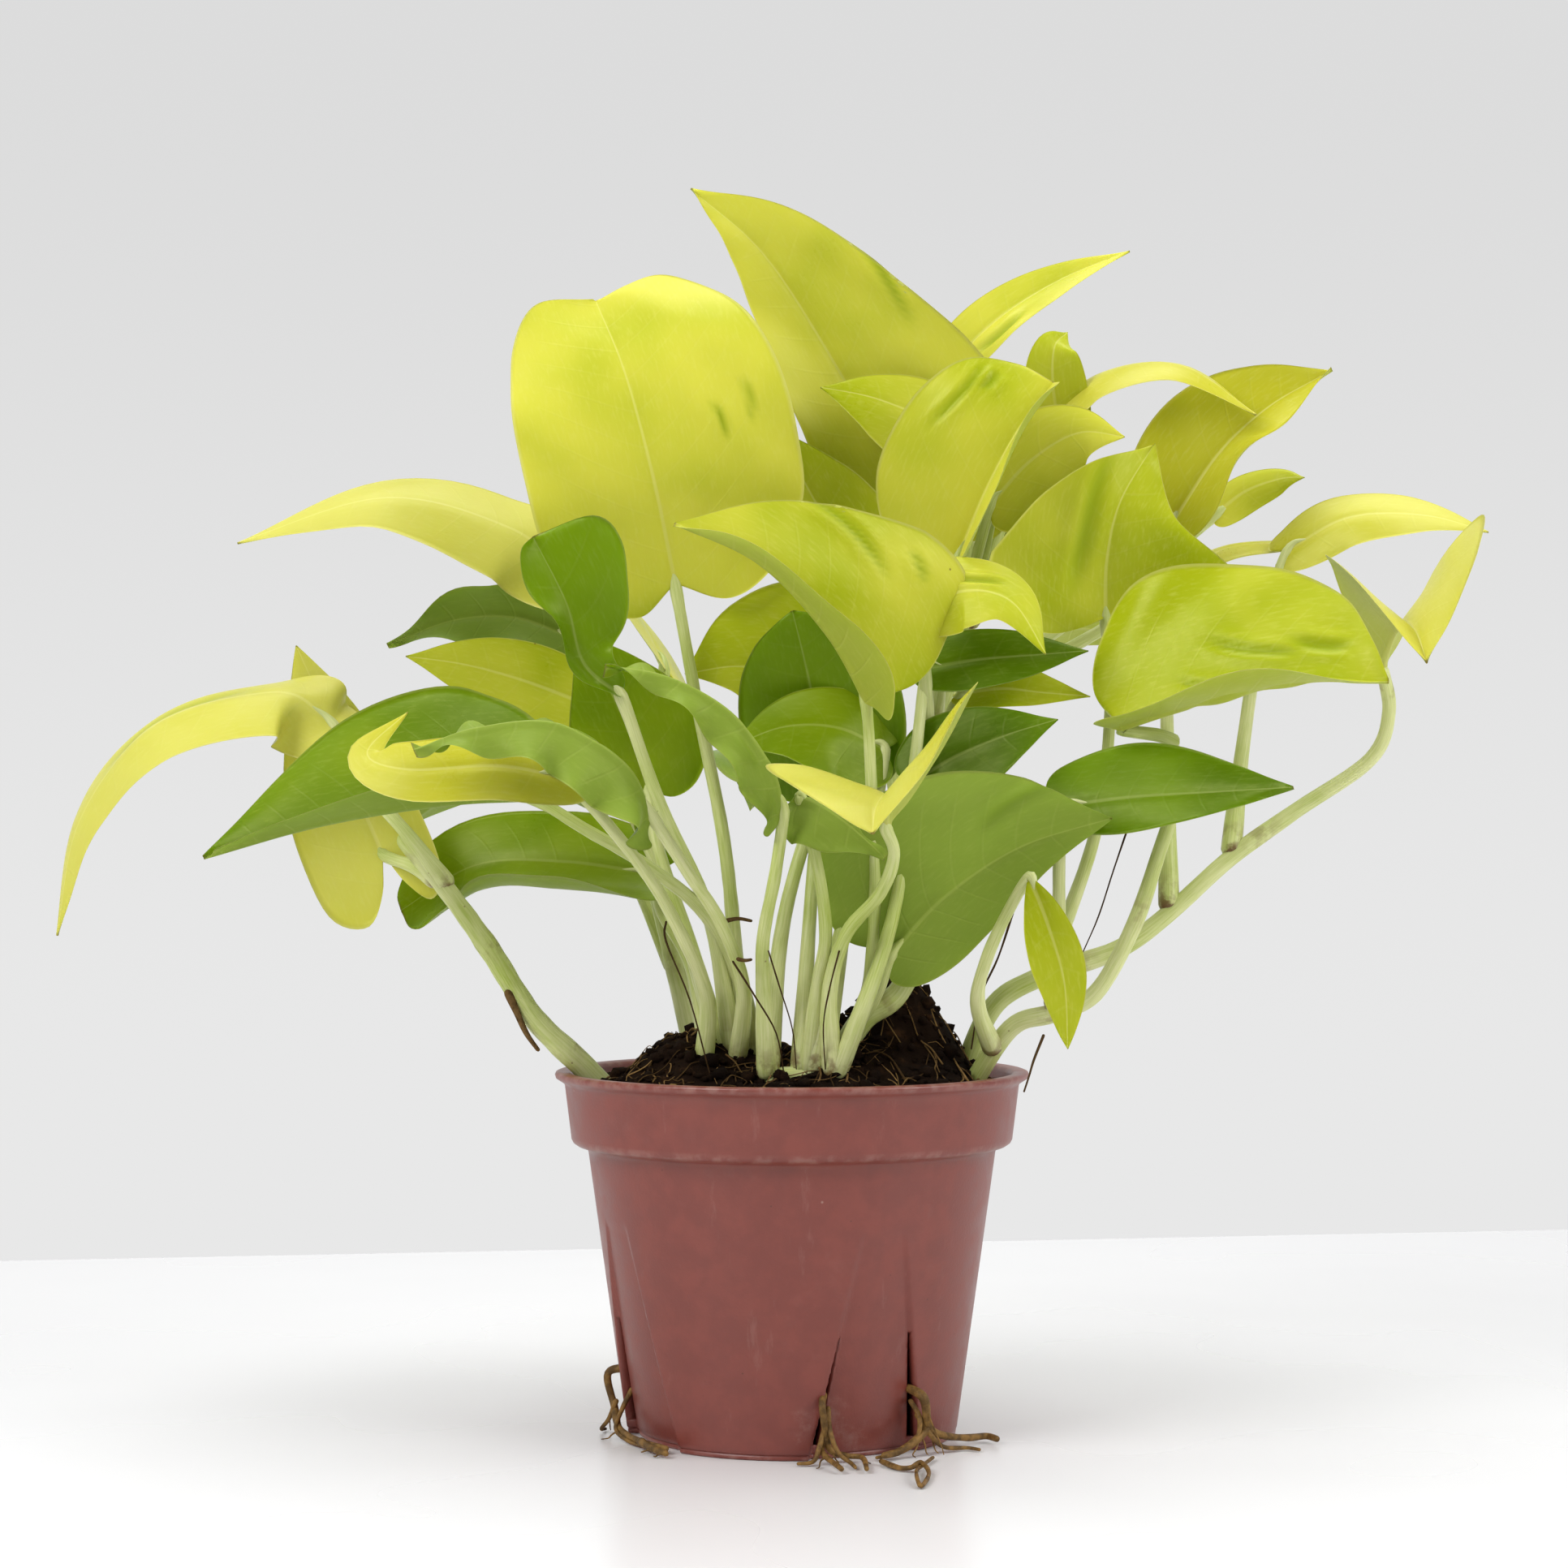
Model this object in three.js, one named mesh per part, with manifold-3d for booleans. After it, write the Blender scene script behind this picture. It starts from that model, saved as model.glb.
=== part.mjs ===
// Potted golden pothos: a nursery pot with peat, vines, leaf stalks, leaf blades and roots.
// Millimetres, +Z up. The origin is the centre of the pot's underside, and -Y is the front.
import * as THREE from 'three';
import { mergeVertices } from 'three/addons/utils/BufferGeometryUtils.js';
import Module from 'manifold-3d';

const wasm = await Module();
wasm.setup();

// Pot: its height and lip, then how far each part stands in or down from the one above.
const POT_TOP = 91.2;
const LIP_R = 60;
const LIP_DROP = 2.2;
const LIP_OUT = 2.5;
const LIP_ROUND = 0.9;
const BAND_TAPER = 1.6;
const BAND_DEEP = 17.7;
const STEP_IN = 4.3;
const STEP_DROP = 2;
const BODY_TAPER = 10.1;
const BASE_CHAMFER = 0.8;
const STEP_ROUND = 1.2;
const AXIS_CLEAR = 20;
const WALL = 2;
const FLOOR = 2.4;
const POT_SIDES = 40;
const BAND_TOP_R = LIP_R - LIP_OUT;
const BAND_LOW_R = BAND_TOP_R - BAND_TAPER;
const BAND_LOW_Z = POT_TOP - BAND_DEEP;
const BODY_TOP_R = BAND_LOW_R - STEP_IN;
const BODY_TOP_Z = BAND_LOW_Z - STEP_DROP;
const BASE_R = BODY_TOP_R - BODY_TAPER;

// Panels sunk ever deeper towards the base, one to a quarter, with a drainage slit at each side.
const PANEL_COUNT = 4;
const PANEL_TURN = 27;
const PANEL_LOW_DEPTH = 2.6;
const PANEL_HIGH_DEPTH = 0.3;
const PANEL_HIGH_Z = 55;
const PANEL_LOW_HALF = 15.2;
const PANEL_HIGH_HALF = 5.6;
const SLIT_LOW_Z = 3.5;
const SLIT_HIGH_Z = 30;
const SLIT_LOW_W = 2.4;
const SLIT_HIGH_W = 0.7;

// Clearances between pieces.
const GAP = 0.3;
const SOIL_GAP = 0.35;
const MERGE = 0.08;
// How far a cut runs past the surface that it opens.
const PAST_END = 1;

// Soil: its level at the wall below the lip, and mounds as [x, y, height, spread].
const SOIL_DROP = 4.2;
const SOIL_EDGE_Z = POT_TOP - SOIL_DROP;
const SOIL_MOUNDS = [
  [-27, -18, 13, 12],
  [30, -12, 24, 11],
  [13, -22, 8, 13],
  [2, 6, 6, 24],
  [22, 30, 4, 16],
  [-24, 26, 4, 16],
];

// Mounds, vines, leaves and roots are listed for a pot with this soil level, lip and foot; they
// move with the ones above.
const LISTED_SOIL_Z = 87;
const LISTED_LIP_R = 60;
const LISTED_BASE_R = 41.5;
const LIFT = SOIL_EDGE_Z - LISTED_SOIL_Z;
const SPREAD = LIP_R / LISTED_LIP_R;
const FOOT_SHIFT = BASE_R - LISTED_BASE_R;

// Two waves in the soil between the mounds as [height, turn per mm along x, along y, phase].
const SOIL_WAVES = [[0.8, 0.31, 0.27, 1.3], [0.7, 0.63, -0.51, 0]];
const SOIL_SIDES = 32;
const SOIL_RINGS = [1, 0.9, 0.75, 0.58, 0.4, 0.2];

// Blades: thickness at the rib, how much of it is lost at the margin, and the shift of the
// margin's wave from one side to the other.
const BLADE_THICK = 1;
const BLADE_THINNING = 0.8;
const WAVE_SHIFT = 0.35;
const RIB_OVERHANG = 0.01;

// Round strands: sizes of the stalks, the length of a blunt point as a share of its radius,
// how much of a root is left at its tip, and how finely strands are divided.
const STALK_R = 1.75;
const STALK_TIP_R = 1.3;
const POINT_SHARE = 0.6;
const ROOT_TIP_SHARE = 0.6;
const VINE_SIDES = 7;
const STALK_SIDES = 5;
const STEPS_PER_POINT = 2;

const TONES = {
  yellow: 0xd6d44c,
  lime: 0xb9c832,
  green: 0x7f9f22,
  deep: 0x4a741a,
};

// Vines: routes from below the soil upward, with the radius at both ends.
const STEMS = [
  { name: 'stem_left', radius: [3.3, 2.2],
    route: [[-45, -4, 84], [-52, -6, 92], [-65, -8, 105], [-76, -8, 122], [-87, -7, 137],
      [-99, -5, 151]] },
  { name: 'stem_right', radius: [2.7, 1.6],
    route: [[42, -7, 88], [50, -9, 107], [62, -9, 115], [82, -8, 122], [95, -6, 131],
      [111, -3, 145], [128, -1, 157], [147, 0, 170], [152, 1, 182], [150, 0, 194]] },
  { name: 'stem_right_front', radius: [2.5, 1.5],
    route: [[43, -16, 86], [54, -22, 103], [64, -27, 107], [74, -31, 112], [83, -33, 128],
      [89, -33, 145], [94, -31, 161], [94, -28, 173]] },
  { name: 'stem_main', radius: [3.1, 2.1],
    route: [[10, -24, 93], [17, -27, 105], [26, -27, 112], [31, -26, 124], [33, -22, 142],
      [34, -16, 165], [36, -10, 188]] },
  { name: 'stem_centre', radius: [2.6, 2.4], route: [[-7, -35, 91], [2, -34, 92], [11, -37, 91]] },
  { name: 'stem_centre_left', radius: [2.6, 2.4],
    route: [[-26, -28, 92], [-16, -24, 93], [-8, -18, 92]] },
  { name: 'stem_back_left', radius: [2.8, 2],
    route: [[-24, 18, 88], [-30, 22, 115], [-36, 24, 140], [-42, 24, 165], [-46, 20, 185]] },
  { name: 'stem_back_right', radius: [2.8, 2],
    route: [[20, 22, 88], [24, 26, 120], [30, 28, 150], [38, 30, 180], [46, 28, 205]] },
];

// Leaves. rib runs from the stalk's end to the tip. face points out of the upper side.
// left and right are [half width, fold in degrees at the rib, curl in degrees to the margin].
// wave is [height, count, phase] of the margin, shape an outline other than the heart.
// stalk starts in the named stem.
const LEAVES = [
  { name: 'leaf_round', tone: 'lime', stem: 'stem_centre_left',
    stalk: [[-12, -21, 93], [-14, -20, 121], [-17, -20, 150], [-24, -17, 185]],
    rib: [[-29, -18, 213], [-34, -28, 238], [-41, -28, 264], [-49, -18, 284]],
    face: [0.1, -1, 0.12], left: [31, 4, -8], right: [38, 4, -12], wave: [1.5, 1.2, 0.2],
    shape: 'notched' },
  { name: 'leaf_crown', tone: 'lime', stem: 'stem_main',
    stalk: [[36, -10, 188], [40, 4, 208]],
    rib: [[37, 14, 229], [16, 10, 264], [-6, 4, 298], [-26, -4, 315]],
    face: [-0.35, -1, 0.25], left: [20, 22, 20], right: [35, 14, -10], wave: [1.2, 1.5, 0],
    shape: 'pointed' },
  { name: 'leaf_centre', tone: 'lime', stem: 'stem_main',
    stalk: [[17, -27, 105], [19, -31, 116], [20, -37, 138], [19, -42, 162]],
    rib: [[18, -46, 183], [8, -54, 199], [-8, -60, 215], [-28, -64, 224]],
    face: [0.35, -1, 0.3], left: [13, 86, 20], right: [40, 8, -8], wave: [1.2, 1.5, 0.4],
    shape: 'pointed' },
  { name: 'leaf_big_right', tone: 'lime', stem: 'stem_right',
    stalk: [[62, -9, 115], [70, -10, 133], [77, -9, 155], [80, -8, 182]],
    rib: [[79, -8, 206], [79, -12, 220], [82, -15, 234], [91, -10, 249]],
    face: [0.1, -1, 0.12], left: [33, 8, 10], right: [36, 8, 16], wave: [1.5, 1.4, 0.5],
    shape: 'pointed' },
  { name: 'leaf_right_large', tone: 'lime', stem: 'stem_right_front',
    stalk: [[94, -28, 173], [90, -32, 175]],
    rib: [[80, -34, 177], [97, -40, 182], [121, -48, 187], [142, -54, 187]],
    face: [-0.1, -0.8, 0.6], left: [37, 10, 10], right: [13, 60, 20], wave: [1.6, 1.6, 0.1],
    shape: 'broad' },
  { name: 'leaf_spoon', tone: 'lime', stem: 'stem_main',
    stalk: [[35, -13, 178], [38, -16, 198]],
    rib: [[41, -18, 219], [48, -22, 236], [56, -24, 251], [65, -22, 263]],
    face: [-0.1, -1, 0.2], left: [28, 4, -10], right: [15, 62, 30], wave: [1, 1.2, 0],
    shape: 'round' },
  { name: 'leaf_right_high', tone: 'yellow', stem: 'stem_right',
    stalk: [[95, -6, 131], [96, 4, 165], [97, 14, 205]],
    rib: [[99, 18, 232], [111, 16, 250], [124, 14, 262], [140, 12, 271]],
    face: [-0.15, -1, 0.25], left: [19, 8, 10], right: [14, 30, 40], wave: [1.5, 1.6, 0.3] },
  { name: 'leaf_green_left', tone: 'green', stem: 'stem_centre_left',
    stalk: [[-10, -19, 93], [-12, -26, 112], [-21, -31, 131], [-35, -35, 143], [-50, -38, 152]],
    rib: [[-63, -38, 160], [-86, -42, 158], [-114, -44, 153], [-142, -44, 145]],
    face: [0, -0.8, 0.6], left: [10, 88, 20], right: [34, 12, -14], wave: [1, 1.4, 0.3] },
  { name: 'leaf_far_left', tone: 'yellow', stem: 'stem_left',
    stalk: [[-86, -7, 137], [-96, -8, 150], [-108, -6, 164]],
    rib: [[-116, -4, 179], [-130, -6, 187], [-160, -10, 178], [-178, -12, 155], [-184, -12, 125]],
    face: [-0.45, -0.6, 0.75], left: [16, -6, -10], right: [15, -14, -20] },
  { name: 'leaf_right_folded', tone: 'yellow', stem: 'stem_right', stalk: [],
    rib: [[150, 0, 194], [151, -15, 202], [152, -32, 201], [152, -48, 192]],
    face: [0.08, 0.1, 1], left: [33, 58, 6], right: [27, 32, 6], shape: 'kite' },
  { name: 'leaf_left_long', tone: 'yellow', stem: 'stem_back_left',
    stalk: [[-46, 20, 185], [-52, 10, 204]],
    rib: [[-56, 2, 217], [-72, -2, 229], [-103, -6, 236], [-140, -10, 224]],
    face: [-0.1, -0.75, 0.7], left: [16, -6, -14], right: [15, -10, -12] },
  { name: 'leaf_grey_large', tone: 'green', stem: 'stem_main',
    stalk: [[17, -27, 105], [21, -31, 113]],
    rib: [[24, -34, 122], [37, -38, 136], [55, -42, 148], [77, -46, 155]],
    face: [0, 1, 0.25], left: [15, 6, 0], right: [31, 6, -12], wave: [1, 1.3, 0] },
  { name: 'leaf_green_right', tone: 'deep', stem: 'stem_right_front',
    stalk: [[64, -27, 107], [65, -31, 128], [65, -34, 146]],
    rib: [[66, -36, 158], [83, -42, 160], [101, -49, 161], [119, -56, 162]],
    face: [0, -1, 0.45], left: [15, 0, -12], right: [9, 0, -8], wave: [0.8, 1.5, 0] },
  { name: 'leaf_wavy', tone: 'green', stem: 'stem_centre',
    stalk: [[-6, -35, 91], [-7, -38, 113], [-7, -44, 126], [-4, -52, 142]],
    rib: [[-3, -58, 156], [-6, -64, 167], [-15, -68, 179], [-29, -70, 187], [-44, -70, 190]],
    face: [-0.3, 0.45, -0.85], left: [10, 30, 20], right: [9, 30, 20], wave: [2.6, 3.4, 0.2] },
  { name: 'leaf_wavy_small', tone: 'green', stem: 'stem_centre',
    stalk: [[4, -34, 92], [6, -36, 113], [8, -42, 127], [6, -47, 143]],
    rib: [[2, -49, 159], [7, -53, 157], [14, -55, 152], [22, -56, 145]],
    face: [-0.3, 0.8, -0.6], left: [11, 20, 10], right: [7, 10, 10], wave: [1.6, 2.4, 0.1] },
  { name: 'leaf_twist_front', tone: 'yellow', stem: 'stem_centre',
    stalk: [[10, -37, 91], [9, -38, 112], [13, -44, 127], [21, -52, 137], [24, -58, 146]],
    rib: [[22, -60, 153], [22, -72, 160], [19, -84, 157], [18, -92, 151]],
    face: [0, 0.1, 1], left: [37, 44, 6], right: [28, 20, 0], shape: 'kite' },
  { name: 'leaf_curly', tone: 'green', stem: 'stem_centre_left',
    stalk: [[-14, -24, 93], [-12, -34, 113], [-17, -44, 129], [-25, -53, 142]],
    rib: [[-34, -60, 155], [-40, -68, 167], [-55, -72, 176], [-73, -74, 175], [-88, -74, 170]],
    face: [0.1, 0.5, -0.9], left: [11, 20, 30], right: [13, 25, 30], wave: [2.8, 4, 0] },
  { name: 'leaf_small_yellow', tone: 'yellow', stem: 'stem_centre_left',
    stalk: [[-22, -27, 93], [-21, -32, 111], [-27, -40, 127], [-36, -48, 143]],
    rib: [[-53, -56, 164], [-69, -62, 167], [-90, -66, 166], [-100, -62, 170], [-91, -56, 180]],
    face: [0, -0.9, 0.5], left: [9, 0, -10], right: [9, 0, -6] },
  { name: 'leaf_lower_left', tone: 'green', stem: 'stem_centre_left',
    stalk: [[-20, -25, 93], [-25, -8, 117], [-33, 2, 131]],
    rib: [[-36, 6, 141], [-59, 12, 144], [-82, 18, 143], [-102, 22, 131]],
    face: [0, -0.85, 0.55], left: [21, -10, 110], right: [15, 6, -6], shape: 'round' },
  { name: 'leaf_yellow_behind', tone: 'yellow', stem: 'stem_left',
    stalk: [[-89, -6, 139], [-97, 2, 143]],
    rib: [[-105, 8, 146], [-113, 10, 164], [-120, 12, 182], [-128, 12, 200]],
    face: [-0.05, -1, 0.1], left: [20, 0, -6], right: [13, 0, -6], shape: 'lobed' },
  { name: 'leaf_twisted', tone: 'deep', stem: 'stem_centre_left',
    stalk: [[-14, -23, 93], [-20, -30, 130], [-32, -38, 158]],
    rib: [[-41, -44, 184], [-50, -48, 192], [-54, -50, 206], [-62, -52, 222]],
    face: [0.25, -1, 0], left: [7, 10, 20], right: [19, 4, 30], wave: [1.8, 2, 0.5],
    shape: 'spatula' },
  { name: 'leaf_hanging', tone: 'lime', stem: 'stem_right_front',
    stalk: [[50, -20, 97], [45, -34, 110], [47, -44, 122], [52, -52, 134]],
    rib: [[56, -56, 141], [60, -60, 130], [64, -60, 116], [65, -58, 100]],
    face: [-0.2, -1, 0.1], left: [6, 6, 6], right: [7, 6, 6], shape: 'lance' },
  { name: 'leaf_arching', tone: 'yellow', stem: 'stem_back_right',
    stalk: [[46, 28, 205], [56, 27, 235]],
    rib: [[64, 24, 259], [80, 18, 271], [100, 10, 272], [119, 3, 258]],
    face: [0, -0.3, 1], left: [11, -10, -20], right: [13, -14, -20] },
  { name: 'leaf_right_outer', tone: 'yellow', stem: 'stem_right',
    stalk: [[111, -3, 145], [116, 8, 175], [122, 16, 205]],
    rib: [[129, 20, 225], [144, 14, 233], [162, 8, 233], [178, 2, 228]],
    face: [0.05, -0.75, 0.7], left: [10, 0, -12], right: [9, -8, -16] },
  { name: 'leaf_upper_right', tone: 'lime', stem: 'stem_back_right',
    stalk: [[46, 28, 205], [46, 32, 240]],
    rib: [[39, 30, 272], [54, 32, 287], [71, 34, 298], [90, 34, 306]],
    face: [-0.2, -0.8, 0.5], left: [8, 10, 10], right: [11, 18, 10] },
  { name: 'leaf_right_of_centre', tone: 'lime', stem: 'stem_main',
    stalk: [[34, -16, 165], [33, -26, 186]],
    rib: [[31, -34, 206], [42, -38, 210], [53, -42, 207], [61, -46, 194]],
    face: [0.25, -0.9, 0.5], left: [12, -4, -14], right: [10, -10, -10] },
  { name: 'leaf_behind_spoon', tone: 'lime', stem: 'stem_main',
    stalk: [[36, -10, 188], [46, -4, 212]],
    rib: [[52, -2, 242], [38, -3, 254], [22, -5, 261], [7, -6, 264]],
    face: [0.1, -1, 0.4], left: [16, 0, -10], right: [12, 0, 0] },
  { name: 'leaf_mid_gap', tone: 'lime', stem: 'stem_main',
    stalk: [[36, -10, 188], [44, -6, 212]],
    rib: [[50, -7, 234], [60, -8, 245], [72, -9, 252], [84, -9, 251]],
    face: [0.1, -1, 0.3], left: [12, 0, 0], right: [13, 0, 0] },
  { name: 'leaf_small_curl', tone: 'lime', stem: 'stem_back_right',
    stalk: [[46, 28, 205], [58, 28, 232]],
    rib: [[71, 22, 253], [68, 16, 266], [68, 14, 277], [72, 20, 282]],
    face: [0.1, -1, 0.1], left: [8, 0, 0], right: [9, 10, 10] },
  { name: 'leaf_pale_back', tone: 'yellow', stem: 'stem_back_right',
    stalk: [[38, 30, 180], [66, 36, 196], [90, 38, 210]],
    rib: [[102, 34, 221], [116, 32, 227], [131, 30, 228], [147, 28, 228]],
    face: [0, -0.4, 1], left: [9, -10, -10], right: [9, 0, -10] },
  { name: 'leaf_far_back', tone: 'lime', stem: 'stem_back_right',
    stalk: [[38, 30, 180], [70, 44, 205], [98, 52, 224]],
    rib: [[115, 52, 238], [123, 52, 244], [132, 50, 247], [138, 46, 247]],
    face: [0, -1, 0.5], left: [5, 0, 0], right: [6, -20, -20] },
  { name: 'leaf_left_grey', tone: 'green', stem: 'stem_back_left',
    stalk: [[-46, 20, 185], [-52, 22, 196]],
    rib: [[-57, 20, 203], [-72, 20, 208], [-88, 18, 207], [-105, 14, 200]],
    face: [0.1, 0.75, 0.6], left: [12, 0, -10], right: [13, 10, 10], wave: [1.6, 2.4, 0] },
  { name: 'leaf_left_lime', tone: 'lime', stem: 'stem_centre_left',
    stalk: [[-16, -24, 93], [-28, -12, 130], [-42, -4, 160]],
    rib: [[-52, 2, 184], [-68, 0, 190], [-83, -2, 194], [-98, -4, 196]],
    face: [0, -1, 0.35], left: [12, 0, -10], right: [11, 0, -8] },
  { name: 'leaf_inner_left', tone: 'green', stem: 'stem_centre_left',
    stalk: [[-16, -24, 93], [-24, -20, 120], [-33, -14, 146]],
    rib: [[-36, -10, 162], [-40, -14, 175], [-46, -16, 188], [-54, -16, 202]],
    face: [0, -1, 0.2], left: [16, 0, 0], right: [18, 0, 0] },
  { name: 'leaf_dark_centre', tone: 'deep', stem: 'stem_centre',
    stalk: [[2, -34, 92], [4, -24, 125], [6, -16, 150]],
    rib: [[8, -16, 163], [6, -22, 180], [3, -26, 194], [0, -28, 206]],
    face: [-0.1, -1, 0.15], left: [19, 4, 0], right: [22, 4, 0], shape: 'broad' },
  { name: 'leaf_inner_lime', tone: 'lime', stem: 'stem_centre',
    stalk: [[-6, -35, 91], [-2, -22, 130], [8, -12, 165]],
    rib: [[13, -8, 184], [0, -10, 190], [-13, -12, 193], [-27, -14, 191]],
    face: [0, -1, 0.2], left: [12, 0, 0], right: [27, 4, -6] },
  { name: 'leaf_inner_green', tone: 'green', stem: 'stem_centre',
    stalk: [[5, -35, 92], [12, -33, 128], [20, -29, 156]],
    rib: [[23, -26, 172], [11, -32, 177], [-2, -36, 177], [-15, -38, 172]],
    face: [0, -0.9, 0.5], left: [14, -6, -6], right: [12, 0, -6] },
  { name: 'leaf_dark_mid', tone: 'deep', stem: 'stem_centre',
    stalk: [[10, -37, 91], [24, -38, 130], [30, -32, 170]],
    rib: [[33, -24, 192], [46, -26, 194], [60, -28, 195], [73, -28, 196]],
    face: [0, -1, 0.5], left: [9, 0, -6], right: [8, 0, -6] },
  { name: 'leaf_dark_right', tone: 'deep', stem: 'stem_main',
    stalk: [[33, -22, 142], [31, -25, 153]],
    rib: [[30, -28, 164], [40, -31, 170], [52, -33, 175], [65, -34, 179]],
    face: [0, -1, 0.4], left: [12, 0, 0], right: [12, 0, 0] },
  { name: 'leaf_lime_low', tone: 'lime', stem: 'stem_main',
    stalk: [[34, -16, 165], [38, -18, 178]],
    rib: [[42, -20, 186], [52, -22, 187], [62, -22, 186], [74, -22, 185]],
    face: [0, -1, 0.4], left: [8, 0, 0], right: [5, 0, 0] },
  { name: 'leaf_under_crown', tone: 'lime', stem: 'stem_centre',
    stalk: [[7, -35, 92], [14, -22, 140], [17, -12, 185]],
    rib: [[20, -4, 208], [12, -6, 224], [3, -8, 240], [-4, -6, 254]],
    face: [0, -1, 0.1], left: [14, 0, 0], right: [16, 0, 0] },
  { name: 'leaf_back_high', tone: 'lime', stem: 'stem_back_right',
    stalk: [[30, 28, 150], [24, 46, 185]],
    rib: [[20, 58, 214], [22, 78, 240], [18, 92, 262], [10, 98, 276]],
    face: [0.1, 1, 0.35], left: [24, 4, -10], right: [24, 4, -10] },
  { name: 'leaf_back_left_high', tone: 'lime', stem: 'stem_back_left',
    stalk: [[-36, 24, 140], [-36, 44, 170]],
    rib: [[-34, 60, 196], [-44, 82, 214], [-58, 100, 224], [-76, 114, 222]],
    face: [-0.1, 0.75, 0.8], left: [22, 4, -10], right: [22, 4, -10] },
  { name: 'leaf_back_left_low', tone: 'green', stem: 'stem_back_left',
    stalk: [[-30, 22, 115], [-42, 36, 140]],
    rib: [[-52, 46, 158], [-72, 64, 166], [-92, 82, 164], [-112, 96, 152]],
    face: [-0.3, 0.5, 0.9], left: [21, 6, -10], right: [21, 6, -10] },
  { name: 'leaf_back_centre', tone: 'green', stem: 'stem_back_right',
    stalk: [[24, 26, 120], [8, 44, 145]],
    rib: [[0, 62, 164], [-2, 84, 172], [-6, 104, 170], [-12, 120, 158]],
    face: [0, 0.4, 1], left: [21, 8, -10], right: [21, 8, -10] },
  { name: 'leaf_back_right', tone: 'lime', stem: 'stem_back_right',
    stalk: [[30, 28, 150], [40, 44, 172]],
    rib: [[46, 56, 190], [62, 76, 204], [82, 92, 210], [102, 104, 204]],
    face: [0.2, 0.6, 0.8], left: [22, 4, -12], right: [22, 4, -12] },
];

// Roots out of the slits. Points are [degrees to the right of the front, radius, height].
const ROOTS = [
  { name: 'root_left', radius: 1.3, strands: [
    [[-86, 46.5, 15], [-84, 45, 7], [-75, 44.5, 2.4], [-58, 44.3, 1.7], [-42, 45.2, 1.5]],
    [[-58, 44.3, 1.7], [-46, 47, 1.4], [-38, 49, 1.3]],
  ] },
  { name: 'root_middle', radius: 1.1, strands: [
    [[9, 45.8, 14], [10.5, 44.8, 6.5], [12, 44.6, 3], [17, 45, 1.7], [21, 47, 1.4], [17, 60, 1.2]],
    [[10.5, 44.8, 6.5], [9, 45.6, 3], [11.5, 59, 1.2]],
  ] },
  { name: 'root_right', radius: 1.4, strands: [
    [[43, 46.8, 14], [46, 46.2, 6.6], [52, 47, 4], [63, 48.5, 2.2], [71, 51, 1.6], [68, 55, 1.5]],
    [[46, 46.2, 6.6], [40, 46, 3.6], [34, 46, 1.8], [27, 47.5, 1.5]],
  ] },
];

const V = (p) => new THREE.Vector3(...p);
const grown = (points) => points.map(([x, y, z]) => [SPREAD * x, SPREAD * y, z + LIFT]);
const rad = THREE.MathUtils.degToRad;
const smooth = (points) => new THREE.CatmullRomCurve3(points.map(V), false, 'catmullrom', 0.5);

// The potting wall's outer radius at a height of the lower body.
const bodyRadius = (z) => BASE_R + (BODY_TOP_R - BASE_R) * (z / BODY_TOP_Z);

// Around the pot: degrees to the right of the front, radius beside the listed foot, height.
function around([deg, listedR, z]) {
  const r = listedR + FOOT_SHIFT;
  return [r * Math.sin(rad(deg)), -r * Math.cos(rad(deg)), z];
}

function solid(geometry) {
  geometry.deleteAttribute('normal');
  geometry.deleteAttribute('uv');
  const merged = mergeVertices(geometry, 1e-4);
  return new wasm.Manifold(new wasm.Mesh({
    numProp: 3,
    vertProperties: new Float32Array(merged.attributes.position.array),
    triVerts: new Uint32Array(merged.index.array),
  }));
}

function indexed(vertices, faces) {
  const geometry = new THREE.BufferGeometry();
  geometry.setAttribute('position', new THREE.Float32BufferAttribute(vertices.flat(), 3));
  geometry.setIndex(faces.flat());
  return geometry;
}

// A closed body turned about the vertical axis from [radius, height] points.
function turned(profile, sides) {
  return solid(new THREE.LatheGeometry(profile.map(([r, z]) => new THREE.Vector2(r, z)), sides)
    .rotateX(Math.PI / 2));
}

// A round strand along a route, with a blunt point at each end.
function strand(route, [startR, endR], sides) {
  const curve = smooth(route);
  const rings = (route.length - 1) * STEPS_PER_POINT;
  const vertices = [];
  const faces = [];
  let side = new THREE.Vector3(0.31, 0.2, 0.93).cross(curve.getTangent(0)).normalize();
  for (let i = 0; i <= rings; i += 1) {
    const t = i / rings;
    const centre = curve.getPoint(t);
    const along = curve.getTangent(t);
    side = side.clone().addScaledVector(along, -side.dot(along)).normalize();
    const across = along.clone().cross(side);
    const r = startR + (endR - startR) * t;
    for (let k = 0; k < sides; k += 1) {
      const a = (k / sides) * 2 * Math.PI;
      vertices.push(centre.clone().addScaledVector(side, r * Math.cos(a))
        .addScaledVector(across, r * Math.sin(a)).toArray());
    }
  }
  const points = [[0, -POINT_SHARE * startR], [1, POINT_SHARE * endR]];
  points.forEach(([t, reach]) => vertices.push(
    curve.getPoint(t).addScaledVector(curve.getTangent(t), reach).toArray()));
  const first = vertices.length - 2;
  for (let k = 0; k < sides; k += 1) {
    const next = (k + 1) % sides;
    for (let i = 0; i < rings; i += 1) {
      const a = i * sides;
      faces.push([a + k, a + next, a + sides + next], [a + k, a + sides + next, a + sides + k]);
    }
    const last = rings * sides;
    faces.push([first, next, k], [first + 1, last + k, last + next]);
  }
  return solid(indexed(vertices, faces));
}

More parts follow.
